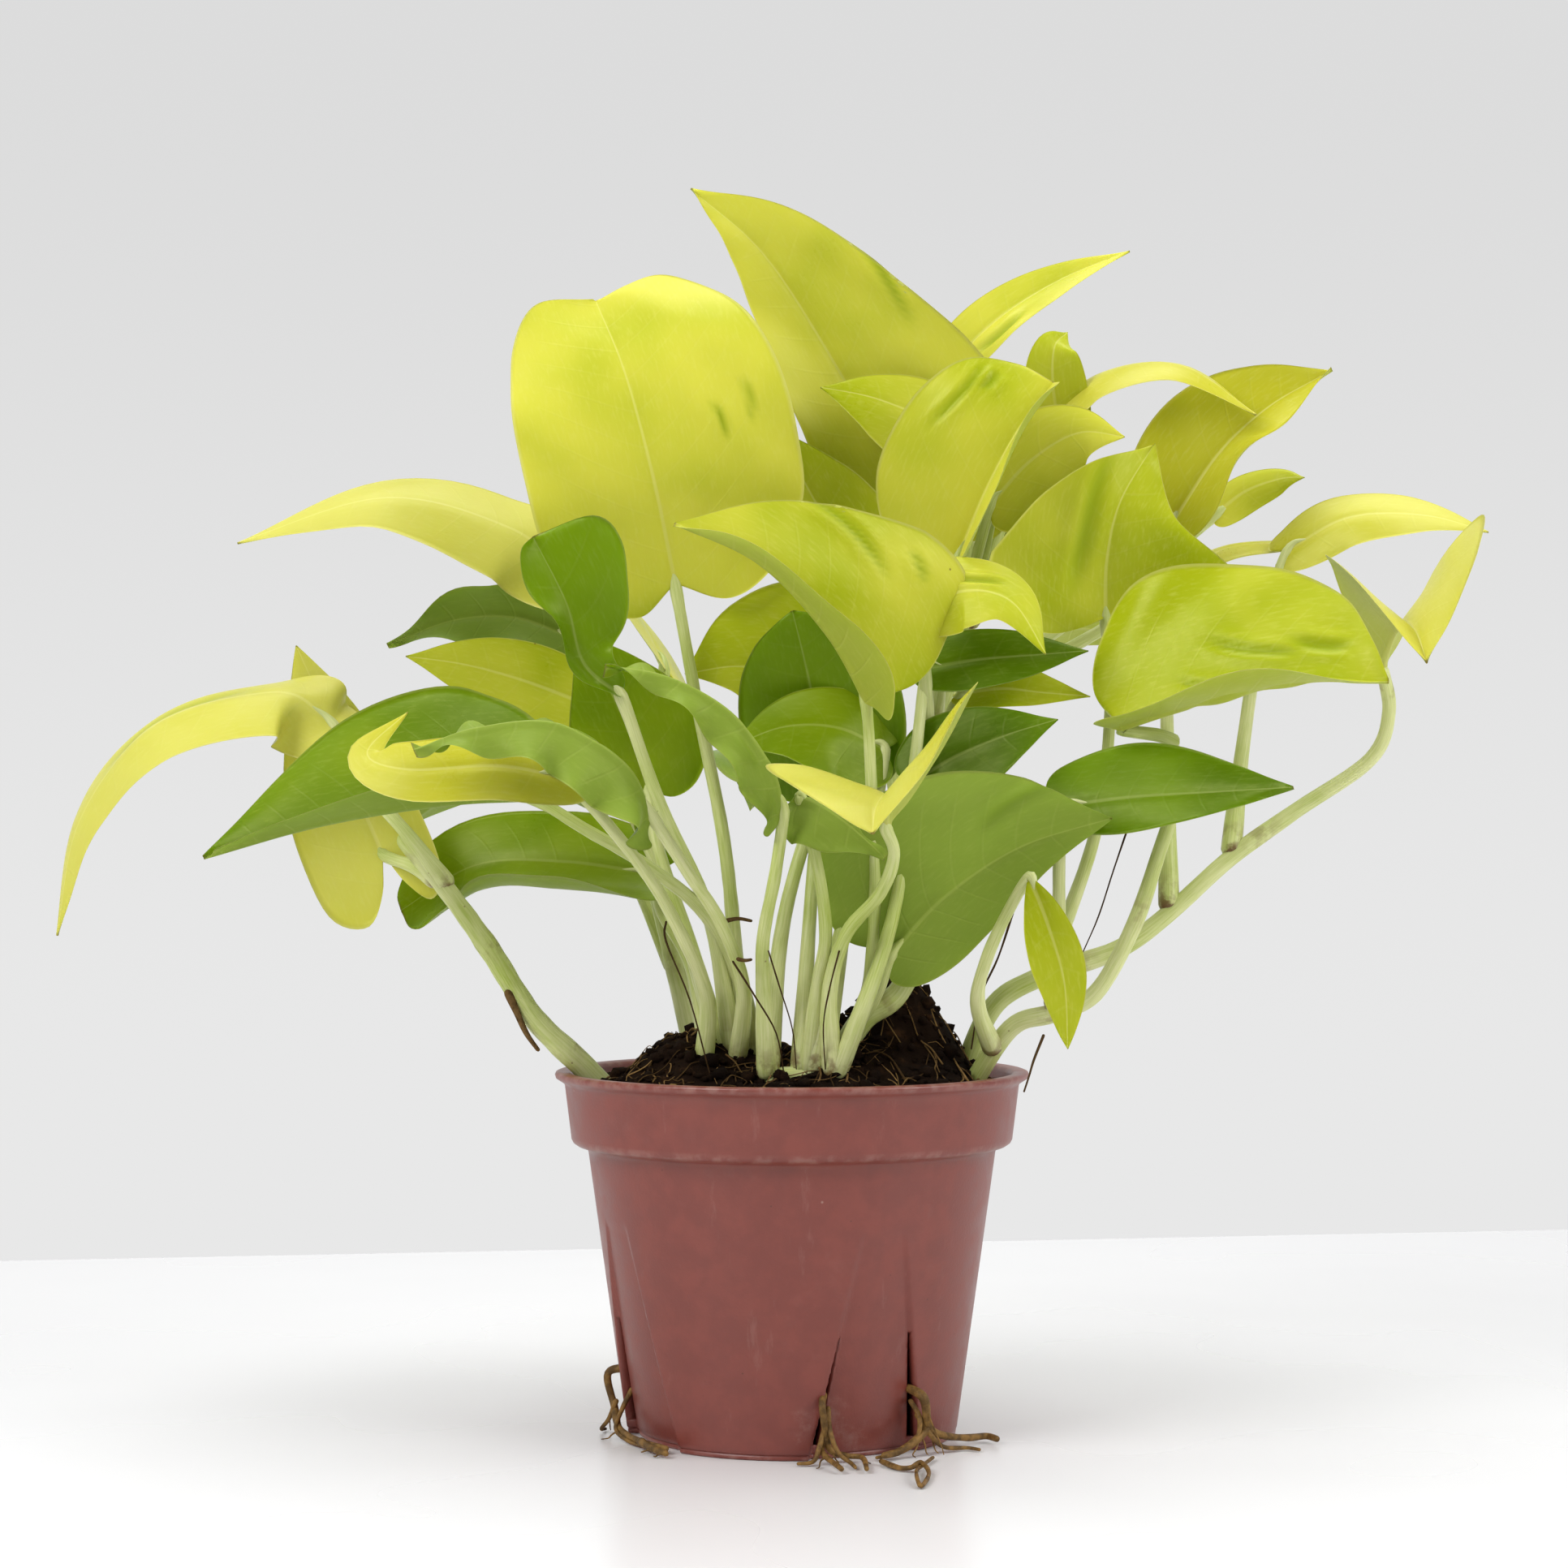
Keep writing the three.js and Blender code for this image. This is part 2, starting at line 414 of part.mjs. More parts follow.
// Half outline of a heart-shaped blade: [share of the rib, share of the half width], with
// the share of the rib that the row's middle stands at.
const OUTLINES = {
  heart: [[-0.08, 0.32, 0.03], [-0.03, 0.7, 0.1], [0.14, 0.96, 0.21], [0.33, 1, 0.36],
    [0.55, 0.83, 0.54], [0.75, 0.5, 0.74], [0.9, 0.19, 0.89]],
  round: [[-0.08, 0.34, 0.03], [0, 0.72, 0.1], [0.2, 0.97, 0.24], [0.42, 1, 0.42],
    [0.65, 0.93, 0.6], [0.86, 0.72, 0.78], [0.98, 0.36, 0.92]],
  pointed: [[-0.08, 0.38, 0.03], [0, 0.78, 0.1], [0.13, 1, 0.2], [0.32, 0.94, 0.35],
    [0.53, 0.68, 0.54], [0.74, 0.36, 0.74], [0.9, 0.13, 0.89]],
  notched: [[-0.08, 0.34, 0.03], [0, 0.72, 0.1], [0.2, 0.97, 0.24], [0.42, 1, 0.42],
    [0.66, 0.95, 0.6], [0.9, 0.78, 0.78], [1.04, 0.46, 0.92]],
  broad: [[-0.08, 0.34, 0.03], [0, 0.74, 0.1], [0.18, 0.97, 0.22], [0.4, 1, 0.4],
    [0.62, 0.88, 0.58], [0.82, 0.6, 0.77], [0.93, 0.28, 0.9]],
  spatula: [[0.05, 0.2, 0.06], [0.22, 0.34, 0.24], [0.42, 0.52, 0.43], [0.62, 0.8, 0.62],
    [0.8, 1, 0.78], [0.96, 0.78, 0.91]],
  kite: [[0.06, 0.18, 0.06], [0.22, 0.4, 0.24], [0.4, 0.8, 0.42], [0.53, 1, 0.54],
    [0.66, 0.8, 0.67], [0.82, 0.4, 0.82], [0.94, 0.16, 0.94]],
  lance: [[0.05, 0.2, 0.06], [0.2, 0.58, 0.2], [0.4, 0.92, 0.4], [0.58, 1, 0.58],
    [0.75, 0.76, 0.75], [0.9, 0.36, 0.9]],
  lobed: [[-0.16, 0.2, 0.02], [-0.27, 0.55, 0.08], [-0.16, 0.95, 0.18], [0.15, 1, 0.33],
    [0.45, 0.83, 0.5], [0.72, 0.5, 0.72], [0.9, 0.19, 0.88]],
};
const WIDE_BLADE = 16;
const WIDE_COLUMNS = [1 / 3, 2 / 3, 1];
const NARROW_COLUMNS = [1 / 2, 1];

// A blade as a thin lens between an upper and a lower sheet that meet at the margin.
function blade(leaf, grow) {
  const curve = smooth(grown(leaf.rib));
  const ribLength = curve.getLength();
  const face = V(leaf.face);
  const widest = Math.max(leaf.left[0], leaf.right[0]);
  const columns = widest > WIDE_BLADE ? WIDE_COLUMNS : NARROW_COLUMNS;
  const [waveHeight, waveCount, wavePhase] = leaf.wave ?? [0, 0, 0];

  function frame(share) {
    const t = Math.min(Math.max(share, 0), 1);
    const along = curve.getTangent(t);
    const up = face.clone().addScaledVector(along, -face.dot(along)).normalize();
    const centre = curve.getPoint(t).addScaledVector(along, (share - t) * ribLength);
    return { centre, up, side: along.clone().cross(up) };
  }

  function point(row, sign, v) {
    const [edgeShare, widthShare, midShare] = row;
    const [width, fold, curl] = sign < 0 ? leaf.left : leaf.right;
    const share = midShare + (edgeShare - midShare) * v;
    const { centre, up, side } = frame(share);
    const distance = (width + grow) * widthShare * v;
    const bend = rad(curl) / width;
    const start = rad(fold);
    const angle = start + bend * distance;
    const out = Math.abs(bend) < 1e-6
      ? [distance * Math.cos(start), distance * Math.sin(start)]
      : [(Math.sin(angle) - Math.sin(start)) / bend, (Math.cos(start) - Math.cos(angle)) / bend];
    const phase = waveCount * share + wavePhase + WAVE_SHIFT * sign;
    const ripple = waveHeight * v * v * Math.sin(2 * Math.PI * phase);
    const normal = up.clone().multiplyScalar(Math.cos(v ? angle : 0))
      .addScaledVector(side, -sign * Math.sin(v ? angle : 0));
    const place = centre.addScaledVector(side, sign * out[0]).addScaledVector(up, out[1])
      .addScaledVector(normal, ripple);
    return { place, normal };
  }

  const vertices = [];
  const add = (p) => vertices.push(p.toArray()) - 1;
  const start = frame(-RIB_OVERHANG);
  const end = frame(1 + grow / ribLength);
  const base = add(start.centre);
  const rows = OUTLINES[leaf.shape ?? 'heart'].map((row) => {
    const stations = [
      ...columns.toReversed().map((v) => [-1, v]), [1, 0], ...columns.map((v) => [1, v])];
    return stations.map(([sign, v]) => {
      const { place, normal } = point(row, sign, v);
      if (v === 1) {
        const edge = add(place);
        return [edge, edge];
      }
      const half = (BLADE_THICK / 2 + grow) * (1 - BLADE_THINNING * v * v);
      return [add(place.clone().addScaledVector(normal, half)),
        add(place.addScaledVector(normal, -half))];
    });
  });
  const tip = add(end.centre);
  const faces = [];
  const keep = (a, b, c) => {
    if (a !== b && b !== c && a !== c) faces.push([a, b, c]);
  };
  const quad = (a, b, c, d) => {
    keep(a, b, c);
    keep(a, c, d);
  };
  for (let j = 0; j < 2 * columns.length; j += 1) {
    for (let i = 0; i < rows.length - 1; i += 1) {
      const [p, q] = [rows[i], rows[i + 1]];
      quad(p[j][0], p[j + 1][0], q[j + 1][0], q[j][0]);
      quad(p[j][1], q[j][1], q[j + 1][1], p[j + 1][1]);
    }
    const [p, q] = [rows[0], rows[rows.length - 1]];
    keep(base, p[j + 1][0], p[j][0]);
    keep(base, p[j][1], p[j + 1][1]);
    keep(tip, q[j][0], q[j + 1][0]);
    keep(tip, q[j + 1][1], q[j][1]);
  }
  return solid(indexed(vertices, faces));
}

// A vine with the stalks of its leaves, each stalk ending at its blade's notch.
function vine(stem, grow) {
  const [startR, endR] = stem.radius;
  const parts = [strand(grown(stem.route), [startR + grow, endR + grow], VINE_SIDES)];
  LEAVES.filter((leaf) => leaf.stem === stem.name && leaf.stalk.length).forEach((leaf) => {
    const route = grown([...leaf.stalk, leaf.rib[0]]);
    parts.push(strand(route, [STALK_R + grow, STALK_TIP_R + grow], STALK_SIDES));
  });
  return wasm.Manifold.union(parts);
}

function root({ radius, strands }, grow) {
  const radii = [radius + grow, ROOT_TIP_SHARE * radius + grow];
  return wasm.Manifold.union(strands.map(
    (points) => strand(points.map(around), radii, STALK_SIDES)));
}

// A flat outline in the plane of the pot's wall, pushed outward through it and turned to place.
function radial(outline, fromR, toR, deg) {
  const shape = new THREE.Shape(outline.map(([x, z]) => new THREE.Vector2(x, z)));
  const body = new THREE.ExtrudeGeometry(shape, { depth: toR - fromR, bevelEnabled: false });
  body.rotateX(Math.PI / 2);
  body.translate(0, -fromR, 0);
  body.rotateZ(rad(deg));
  return solid(body);
}

// What the panels take from the body: down to depthAt(z) below its surface, wider by grow.
function panels(depthAt, grow) {
  const foot = -PAST_END;
  const top = PANEL_HIGH_Z + grow;
  const [low, high] = [PANEL_LOW_HALF + grow, PANEL_HIGH_HALF + grow];
  const core = turned([
    [0, foot], [bodyRadius(foot) - depthAt(foot), foot],
    [bodyRadius(top) - depthAt(top), top], [0, top],
  ], POT_SIDES);
  const wedges = [];
  for (let i = 0; i < PANEL_COUNT; i += 1) {
    const outline = [[-low, foot], [low, foot], [high, top], [-high, top]];
    wedges.push(radial(outline, AXIS_CLEAR, LIP_R, PANEL_TURN + (i * 360) / PANEL_COUNT));
  }
  return wasm.Manifold.union(wedges).subtract(core);
}

const panelDepth = (z) => PANEL_LOW_DEPTH
  + (PANEL_HIGH_DEPTH - PANEL_LOW_DEPTH) * (z / PANEL_HIGH_Z);
const panelHalf = (z) => PANEL_LOW_HALF
  + (PANEL_HIGH_HALF - PANEL_LOW_HALF) * (z / PANEL_HIGH_Z);

// The slits just inside both sides of each panel, through the wall.
function slits() {
  const cuts = [];
  for (let i = 0; i < PANEL_COUNT; i += 1) {
    [-1, 1].forEach((sign) => {
      const side = (z, width) => sign * (panelHalf(z) - width);
      cuts.push(radial([
        [side(SLIT_LOW_Z, 0), SLIT_LOW_Z], [side(SLIT_HIGH_Z, 0), SLIT_HIGH_Z],
        [side(SLIT_HIGH_Z, SLIT_HIGH_W), SLIT_HIGH_Z], [side(SLIT_LOW_Z, SLIT_LOW_W), SLIT_LOW_Z],
      ], AXIS_CLEAR, LIP_R, PANEL_TURN + (i * 360) / PANEL_COUNT));
    });
  }
  return wasm.Manifold.union(cuts);
}

function pot() {
  const inner = (z) => bodyRadius(z) - WALL;
  const outside = turned([
    [0, 0], [BASE_R - BASE_CHAMFER, 0], [BASE_R, BASE_CHAMFER], [BODY_TOP_R, BODY_TOP_Z],
    [BAND_LOW_R - STEP_ROUND, BAND_LOW_Z - STEP_ROUND],
    [BAND_LOW_R, BAND_LOW_Z + STEP_ROUND / 2],
    [BAND_TOP_R, POT_TOP - LIP_DROP - LIP_ROUND], [LIP_R - LIP_ROUND / 2, POT_TOP - LIP_DROP],
    [LIP_R, POT_TOP - LIP_ROUND], [LIP_R - LIP_ROUND, POT_TOP], [0, POT_TOP],
  ], POT_SIDES);
  const hollow = turned([
    [0, FLOOR], [inner(FLOOR), FLOOR], [inner(BODY_TOP_Z), BODY_TOP_Z - STEP_ROUND],
    [BAND_LOW_R - WALL, BAND_LOW_Z + STEP_ROUND], [BAND_TOP_R - WALL, POT_TOP - STEP_ROUND],
    [BAND_TOP_R - WALL + STEP_ROUND, POT_TOP],
    [BAND_TOP_R - WALL + STEP_ROUND, POT_TOP + PAST_END], [0, POT_TOP + PAST_END],
  ], POT_SIDES);
  const sunk = outside.subtract(panels(panelDepth, 0));
  const room = hollow.subtract(panels((z) => panelDepth(z) + WALL, WALL));
  return sunk.subtract(room).subtract(slits());
}

function soilHeight(x, y) {
  const wall = BAND_LOW_R - WALL;
  const fade = 1 - Math.min(1, (Math.hypot(x, y) / wall) ** 6);
  const mounds = SOIL_MOUNDS.reduce((sum, [mx, my, height, spread]) => sum
    + height * Math.exp(-((x / SPREAD - mx) ** 2 + (y / SPREAD - my) ** 2)
      / (2 * spread * spread)), 0);
  const waves = SOIL_WAVES.reduce((sum, [height, turnX, turnY, phase]) => sum
    + height * Math.sin(turnX * x + turnY * y + phase), 0);
  return SOIL_EDGE_Z + (mounds + waves) * fade;
}

function soil() {
  const inset = WALL + SOIL_GAP;
  const inner = (z) => bodyRadius(z) - inset;
  const bandShare = (SOIL_EDGE_Z - BAND_LOW_Z) / BAND_DEEP;
  const topR = BAND_LOW_R + BAND_TAPER * bandShare - inset;
  const wall = [
    [inner(FLOOR + SOIL_GAP), FLOOR + SOIL_GAP],
    [inner(BODY_TOP_Z), BODY_TOP_Z - 2 * STEP_ROUND],
    [BAND_LOW_R - inset, BAND_LOW_Z + 2 * STEP_ROUND],
  ];
  const vertices = [];
  const ring = (r, heightAt) => {
    for (let k = 0; k < SOIL_SIDES; k += 1) {
      const a = (k / SOIL_SIDES) * 2 * Math.PI;
      const [x, y] = [r * Math.cos(a), r * Math.sin(a)];
      vertices.push([x, y, heightAt(x, y)]);
    }
  };
  wall.forEach(([r, z]) => ring(r, () => z));
  SOIL_RINGS.forEach((share) => ring(share * topR, soilHeight));
  const ringCount = wall.length + SOIL_RINGS.length;
  const low = vertices.push([0, 0, wall[0][1]]) - 1;
  const high = vertices.push([0, 0, soilHeight(0, 0)]) - 1;
  const faces = [];
  for (let k = 0; k < SOIL_SIDES; k += 1) {
    const next = (k + 1) % SOIL_SIDES;
    for (let i = 0; i < ringCount - 1; i += 1) {
      const [a, b] = [i * SOIL_SIDES, (i + 1) * SOIL_SIDES];
      faces.push([a + k, a + next, b + next], [a + k, b + next, b + k]);
    }
    const last = (ringCount - 1) * SOIL_SIDES;
    faces.push([low, next, k], [high, last + k, last + next]);
  }
  const peat = solid(indexed(vertices, faces));
  return peat.subtract(panels((z) => panelDepth(z) + inset, inset));
}

function largest(body) {
  return body.decompose().reduce((a, b) => (b.volume() > a.volume() ? b : a));
}

function apart(a, b) {
  const [p, q] = [a.boundingBox(), b.boundingBox()];
  return [0, 1, 2].some((i) => p.max[i] < q.min[i] || q.max[i] < p.min[i]);
}

// Each piece gives way to the ones before it, with the clearance between them.
const placed = [];
function clear(body) {
  const free = placed.reduce((rest, other) => (apart(rest, other) ? rest : rest.subtract(other)),
    body);
  return largest(free.simplify(MERGE));
}

const plant = new THREE.Group();
plant.name = 'potted_pothos';

function addMesh(name, body, colour, roughness) {
  const { vertProperties, numProp, triVerts } = body.getMesh();
  const geometry = new THREE.BufferGeometry();
  const positions = new Float32Array((vertProperties.length / numProp) * 3);
  for (let i = 0; i < positions.length / 3; i += 1) {
    positions.set(vertProperties.subarray(i * numProp, i * numProp + 3), i * 3);
  }
  geometry.setAttribute('position', new THREE.BufferAttribute(positions, 3));
  geometry.setIndex(new THREE.BufferAttribute(new Uint32Array(triVerts), 1));
  geometry.computeVertexNormals();
  const material = new THREE.MeshStandardMaterial({ color: colour, roughness, metalness: 0 });
  const mesh = new THREE.Mesh(geometry, material);
  mesh.name = name;
  plant.add(mesh);
}

const potBody = pot();
addMesh('pot', potBody, 0x8c5046, 0.6);
placed.push(potBody);

STEMS.forEach((stem) => {
  addMesh(stem.name, clear(vine(stem, 0)), 0xc9d58a, 0.45);
  placed.push(vine(stem, GAP));
});
addMesh('soil', clear(soil()), 0x2a1a12, 0.95);
placed.push(soil());

ROOTS.forEach((entry) => {
  addMesh(entry.name, clear(root(entry, 0)), 0x8a6a3a, 0.85);
  placed.push(root(entry, GAP));
});
LEAVES.forEach((leaf) => {
  addMesh(leaf.name, clear(blade(leaf, 0)), TONES[leaf.tone], 0.4);
  placed.push(blade(leaf, GAP));
});

export default plant;
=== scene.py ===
"""A potted golden pothos: nursery pot, peat, vines with leaf stalks, blades and roots.

Lengths in the tables of vines and leaves are millimetres, as a plant is measured; MM turns
them into Blender's metres. The origin is the centre of the pot's underside, -Y is the front.
"""

import math
import random
from itertools import combinations

import bpy
import numpy as np
from bpy.props import FloatProperty, FloatVectorProperty, IntProperty, PointerProperty
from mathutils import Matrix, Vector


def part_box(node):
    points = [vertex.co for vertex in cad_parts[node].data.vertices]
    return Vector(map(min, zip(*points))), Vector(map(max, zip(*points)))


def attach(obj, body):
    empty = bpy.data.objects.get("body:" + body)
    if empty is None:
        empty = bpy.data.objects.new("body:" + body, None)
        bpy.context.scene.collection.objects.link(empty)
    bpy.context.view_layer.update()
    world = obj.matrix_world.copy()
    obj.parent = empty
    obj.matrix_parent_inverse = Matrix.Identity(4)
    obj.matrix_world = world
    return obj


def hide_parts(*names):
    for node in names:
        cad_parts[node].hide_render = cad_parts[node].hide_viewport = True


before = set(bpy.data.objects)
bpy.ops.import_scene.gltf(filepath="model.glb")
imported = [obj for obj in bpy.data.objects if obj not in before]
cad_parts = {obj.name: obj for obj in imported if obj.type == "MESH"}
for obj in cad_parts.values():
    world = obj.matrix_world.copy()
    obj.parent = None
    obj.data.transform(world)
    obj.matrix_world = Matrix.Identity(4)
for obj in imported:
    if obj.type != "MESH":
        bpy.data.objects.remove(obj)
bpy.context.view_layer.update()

bl_info = {
    "name": "Potted pothos",
    "version": (1, 0, 0),
    "blender": (4, 5, 0),
    "location": "View3D > Sidebar > Pothos",
    "description": "Builds a golden pothos in a plastic nursery pot",
    "category": "Object",
}

MM = 0.001
BODY = "root"
# Random phases and spins are drawn from 0 up to this, almost a full turn.
ANY_TURN = 6.28

POT_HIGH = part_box("pot")[1]
POT_TOP = POT_HIGH[2]
LIP_R = POT_HIGH[0]

# Half outlines of a blade: [share of the rib, share of the half width, share of the rib where
# the row crosses it], from the notch to the tip.
OUTLINES = {
    "heart": [(-0.08, 0.32, 0.03), (-0.03, 0.7, 0.1), (0.14, 0.96, 0.21), (0.33, 1, 0.36),
              (0.55, 0.83, 0.54), (0.75, 0.5, 0.74), (0.9, 0.19, 0.89)],
    "round": [(-0.08, 0.34, 0.03), (0, 0.72, 0.1), (0.2, 0.97, 0.24), (0.42, 1, 0.42),
              (0.65, 0.93, 0.6), (0.86, 0.72, 0.78), (0.98, 0.36, 0.92)],
    "pointed": [(-0.08, 0.38, 0.03), (0, 0.78, 0.1), (0.13, 1, 0.2), (0.32, 0.94, 0.35),
                (0.53, 0.68, 0.54), (0.74, 0.36, 0.74), (0.9, 0.13, 0.89)],
    "notched": [(-0.08, 0.34, 0.03), (0, 0.72, 0.1), (0.2, 0.97, 0.24), (0.42, 1, 0.42),
                (0.66, 0.95, 0.6), (0.9, 0.78, 0.78), (1.04, 0.46, 0.92)],
    "broad": [(-0.08, 0.34, 0.03), (0, 0.74, 0.1), (0.18, 0.97, 0.22), (0.4, 1, 0.4),
              (0.62, 0.88, 0.58), (0.82, 0.6, 0.77), (0.93, 0.28, 0.9)],
    "spatula": [(0.05, 0.2, 0.06), (0.22, 0.34, 0.24), (0.42, 0.52, 0.43), (0.62, 0.8, 0.62),
                (0.8, 1, 0.78), (0.96, 0.78, 0.91)],
    "kite": [(0.06, 0.18, 0.06), (0.22, 0.4, 0.24), (0.4, 0.8, 0.42), (0.53, 1, 0.54),
             (0.66, 0.8, 0.67), (0.82, 0.4, 0.82), (0.94, 0.16, 0.94)],
    "lance": [(0.05, 0.2, 0.06), (0.2, 0.58, 0.2), (0.4, 0.92, 0.4), (0.58, 1, 0.58),
              (0.75, 0.76, 0.75), (0.9, 0.36, 0.9)],
    "lobed": [(-0.16, 0.2, 0.02), (-0.27, 0.55, 0.08), (-0.16, 0.95, 0.18), (0.15, 1, 0.33),
              (0.45, 0.83, 0.5), (0.72, 0.5, 0.72), (0.9, 0.19, 0.88)],
}

# Vines: routes from below the peat upward, with the radius at both ends.
VINES = {
    "stem_left": {"radius": (3.3, 2.2), "route": [
        (-45, -4, 84), (-52, -6, 92), (-65, -8, 105), (-76, -8, 122), (-87, -7, 137),
        (-99, -5, 151)]},
    "stem_right": {"radius": (2.7, 1.6), "route": [
        (42, -7, 88), (50, -9, 107), (62, -9, 115), (82, -8, 122), (95, -6, 131),
        (111, -3, 145), (128, -1, 157), (147, 0, 170), (152, 1, 182), (150, 0, 194)]},
    "stem_right_front": {"radius": (2.5, 1.5), "route": [
        (43, -16, 86), (54, -22, 103), (64, -27, 107), (74, -31, 112), (83, -33, 128),
        (89, -33, 145), (94, -31, 161), (94, -28, 173)]},
    "stem_main": {"radius": (3.1, 2.1), "route": [
        (10, -24, 93), (17, -27, 105), (26, -27, 112), (31, -26, 124), (33, -22, 142),
        (34, -16, 165), (36, -10, 188)]},
    "stem_centre": {"radius": (2.6, 2.4), "route": [(-7, -35, 91), (2, -34, 92), (11, -37, 91)]},
    "stem_centre_left": {"radius": (2.6, 2.4), "route": [
        (-26, -28, 92), (-16, -24, 93), (-8, -18, 92)]},
    "stem_back_left": {"radius": (2.8, 2), "route": [
        (-24, 18, 88), (-30, 22, 115), (-36, 24, 140), (-42, 24, 165), (-46, 20, 185)]},
    "stem_back_right": {"radius": (2.8, 2), "route": [
        (20, 22, 88), (24, 26, 120), (30, 28, 150), (38, 30, 180), (46, 28, 205)]},
}

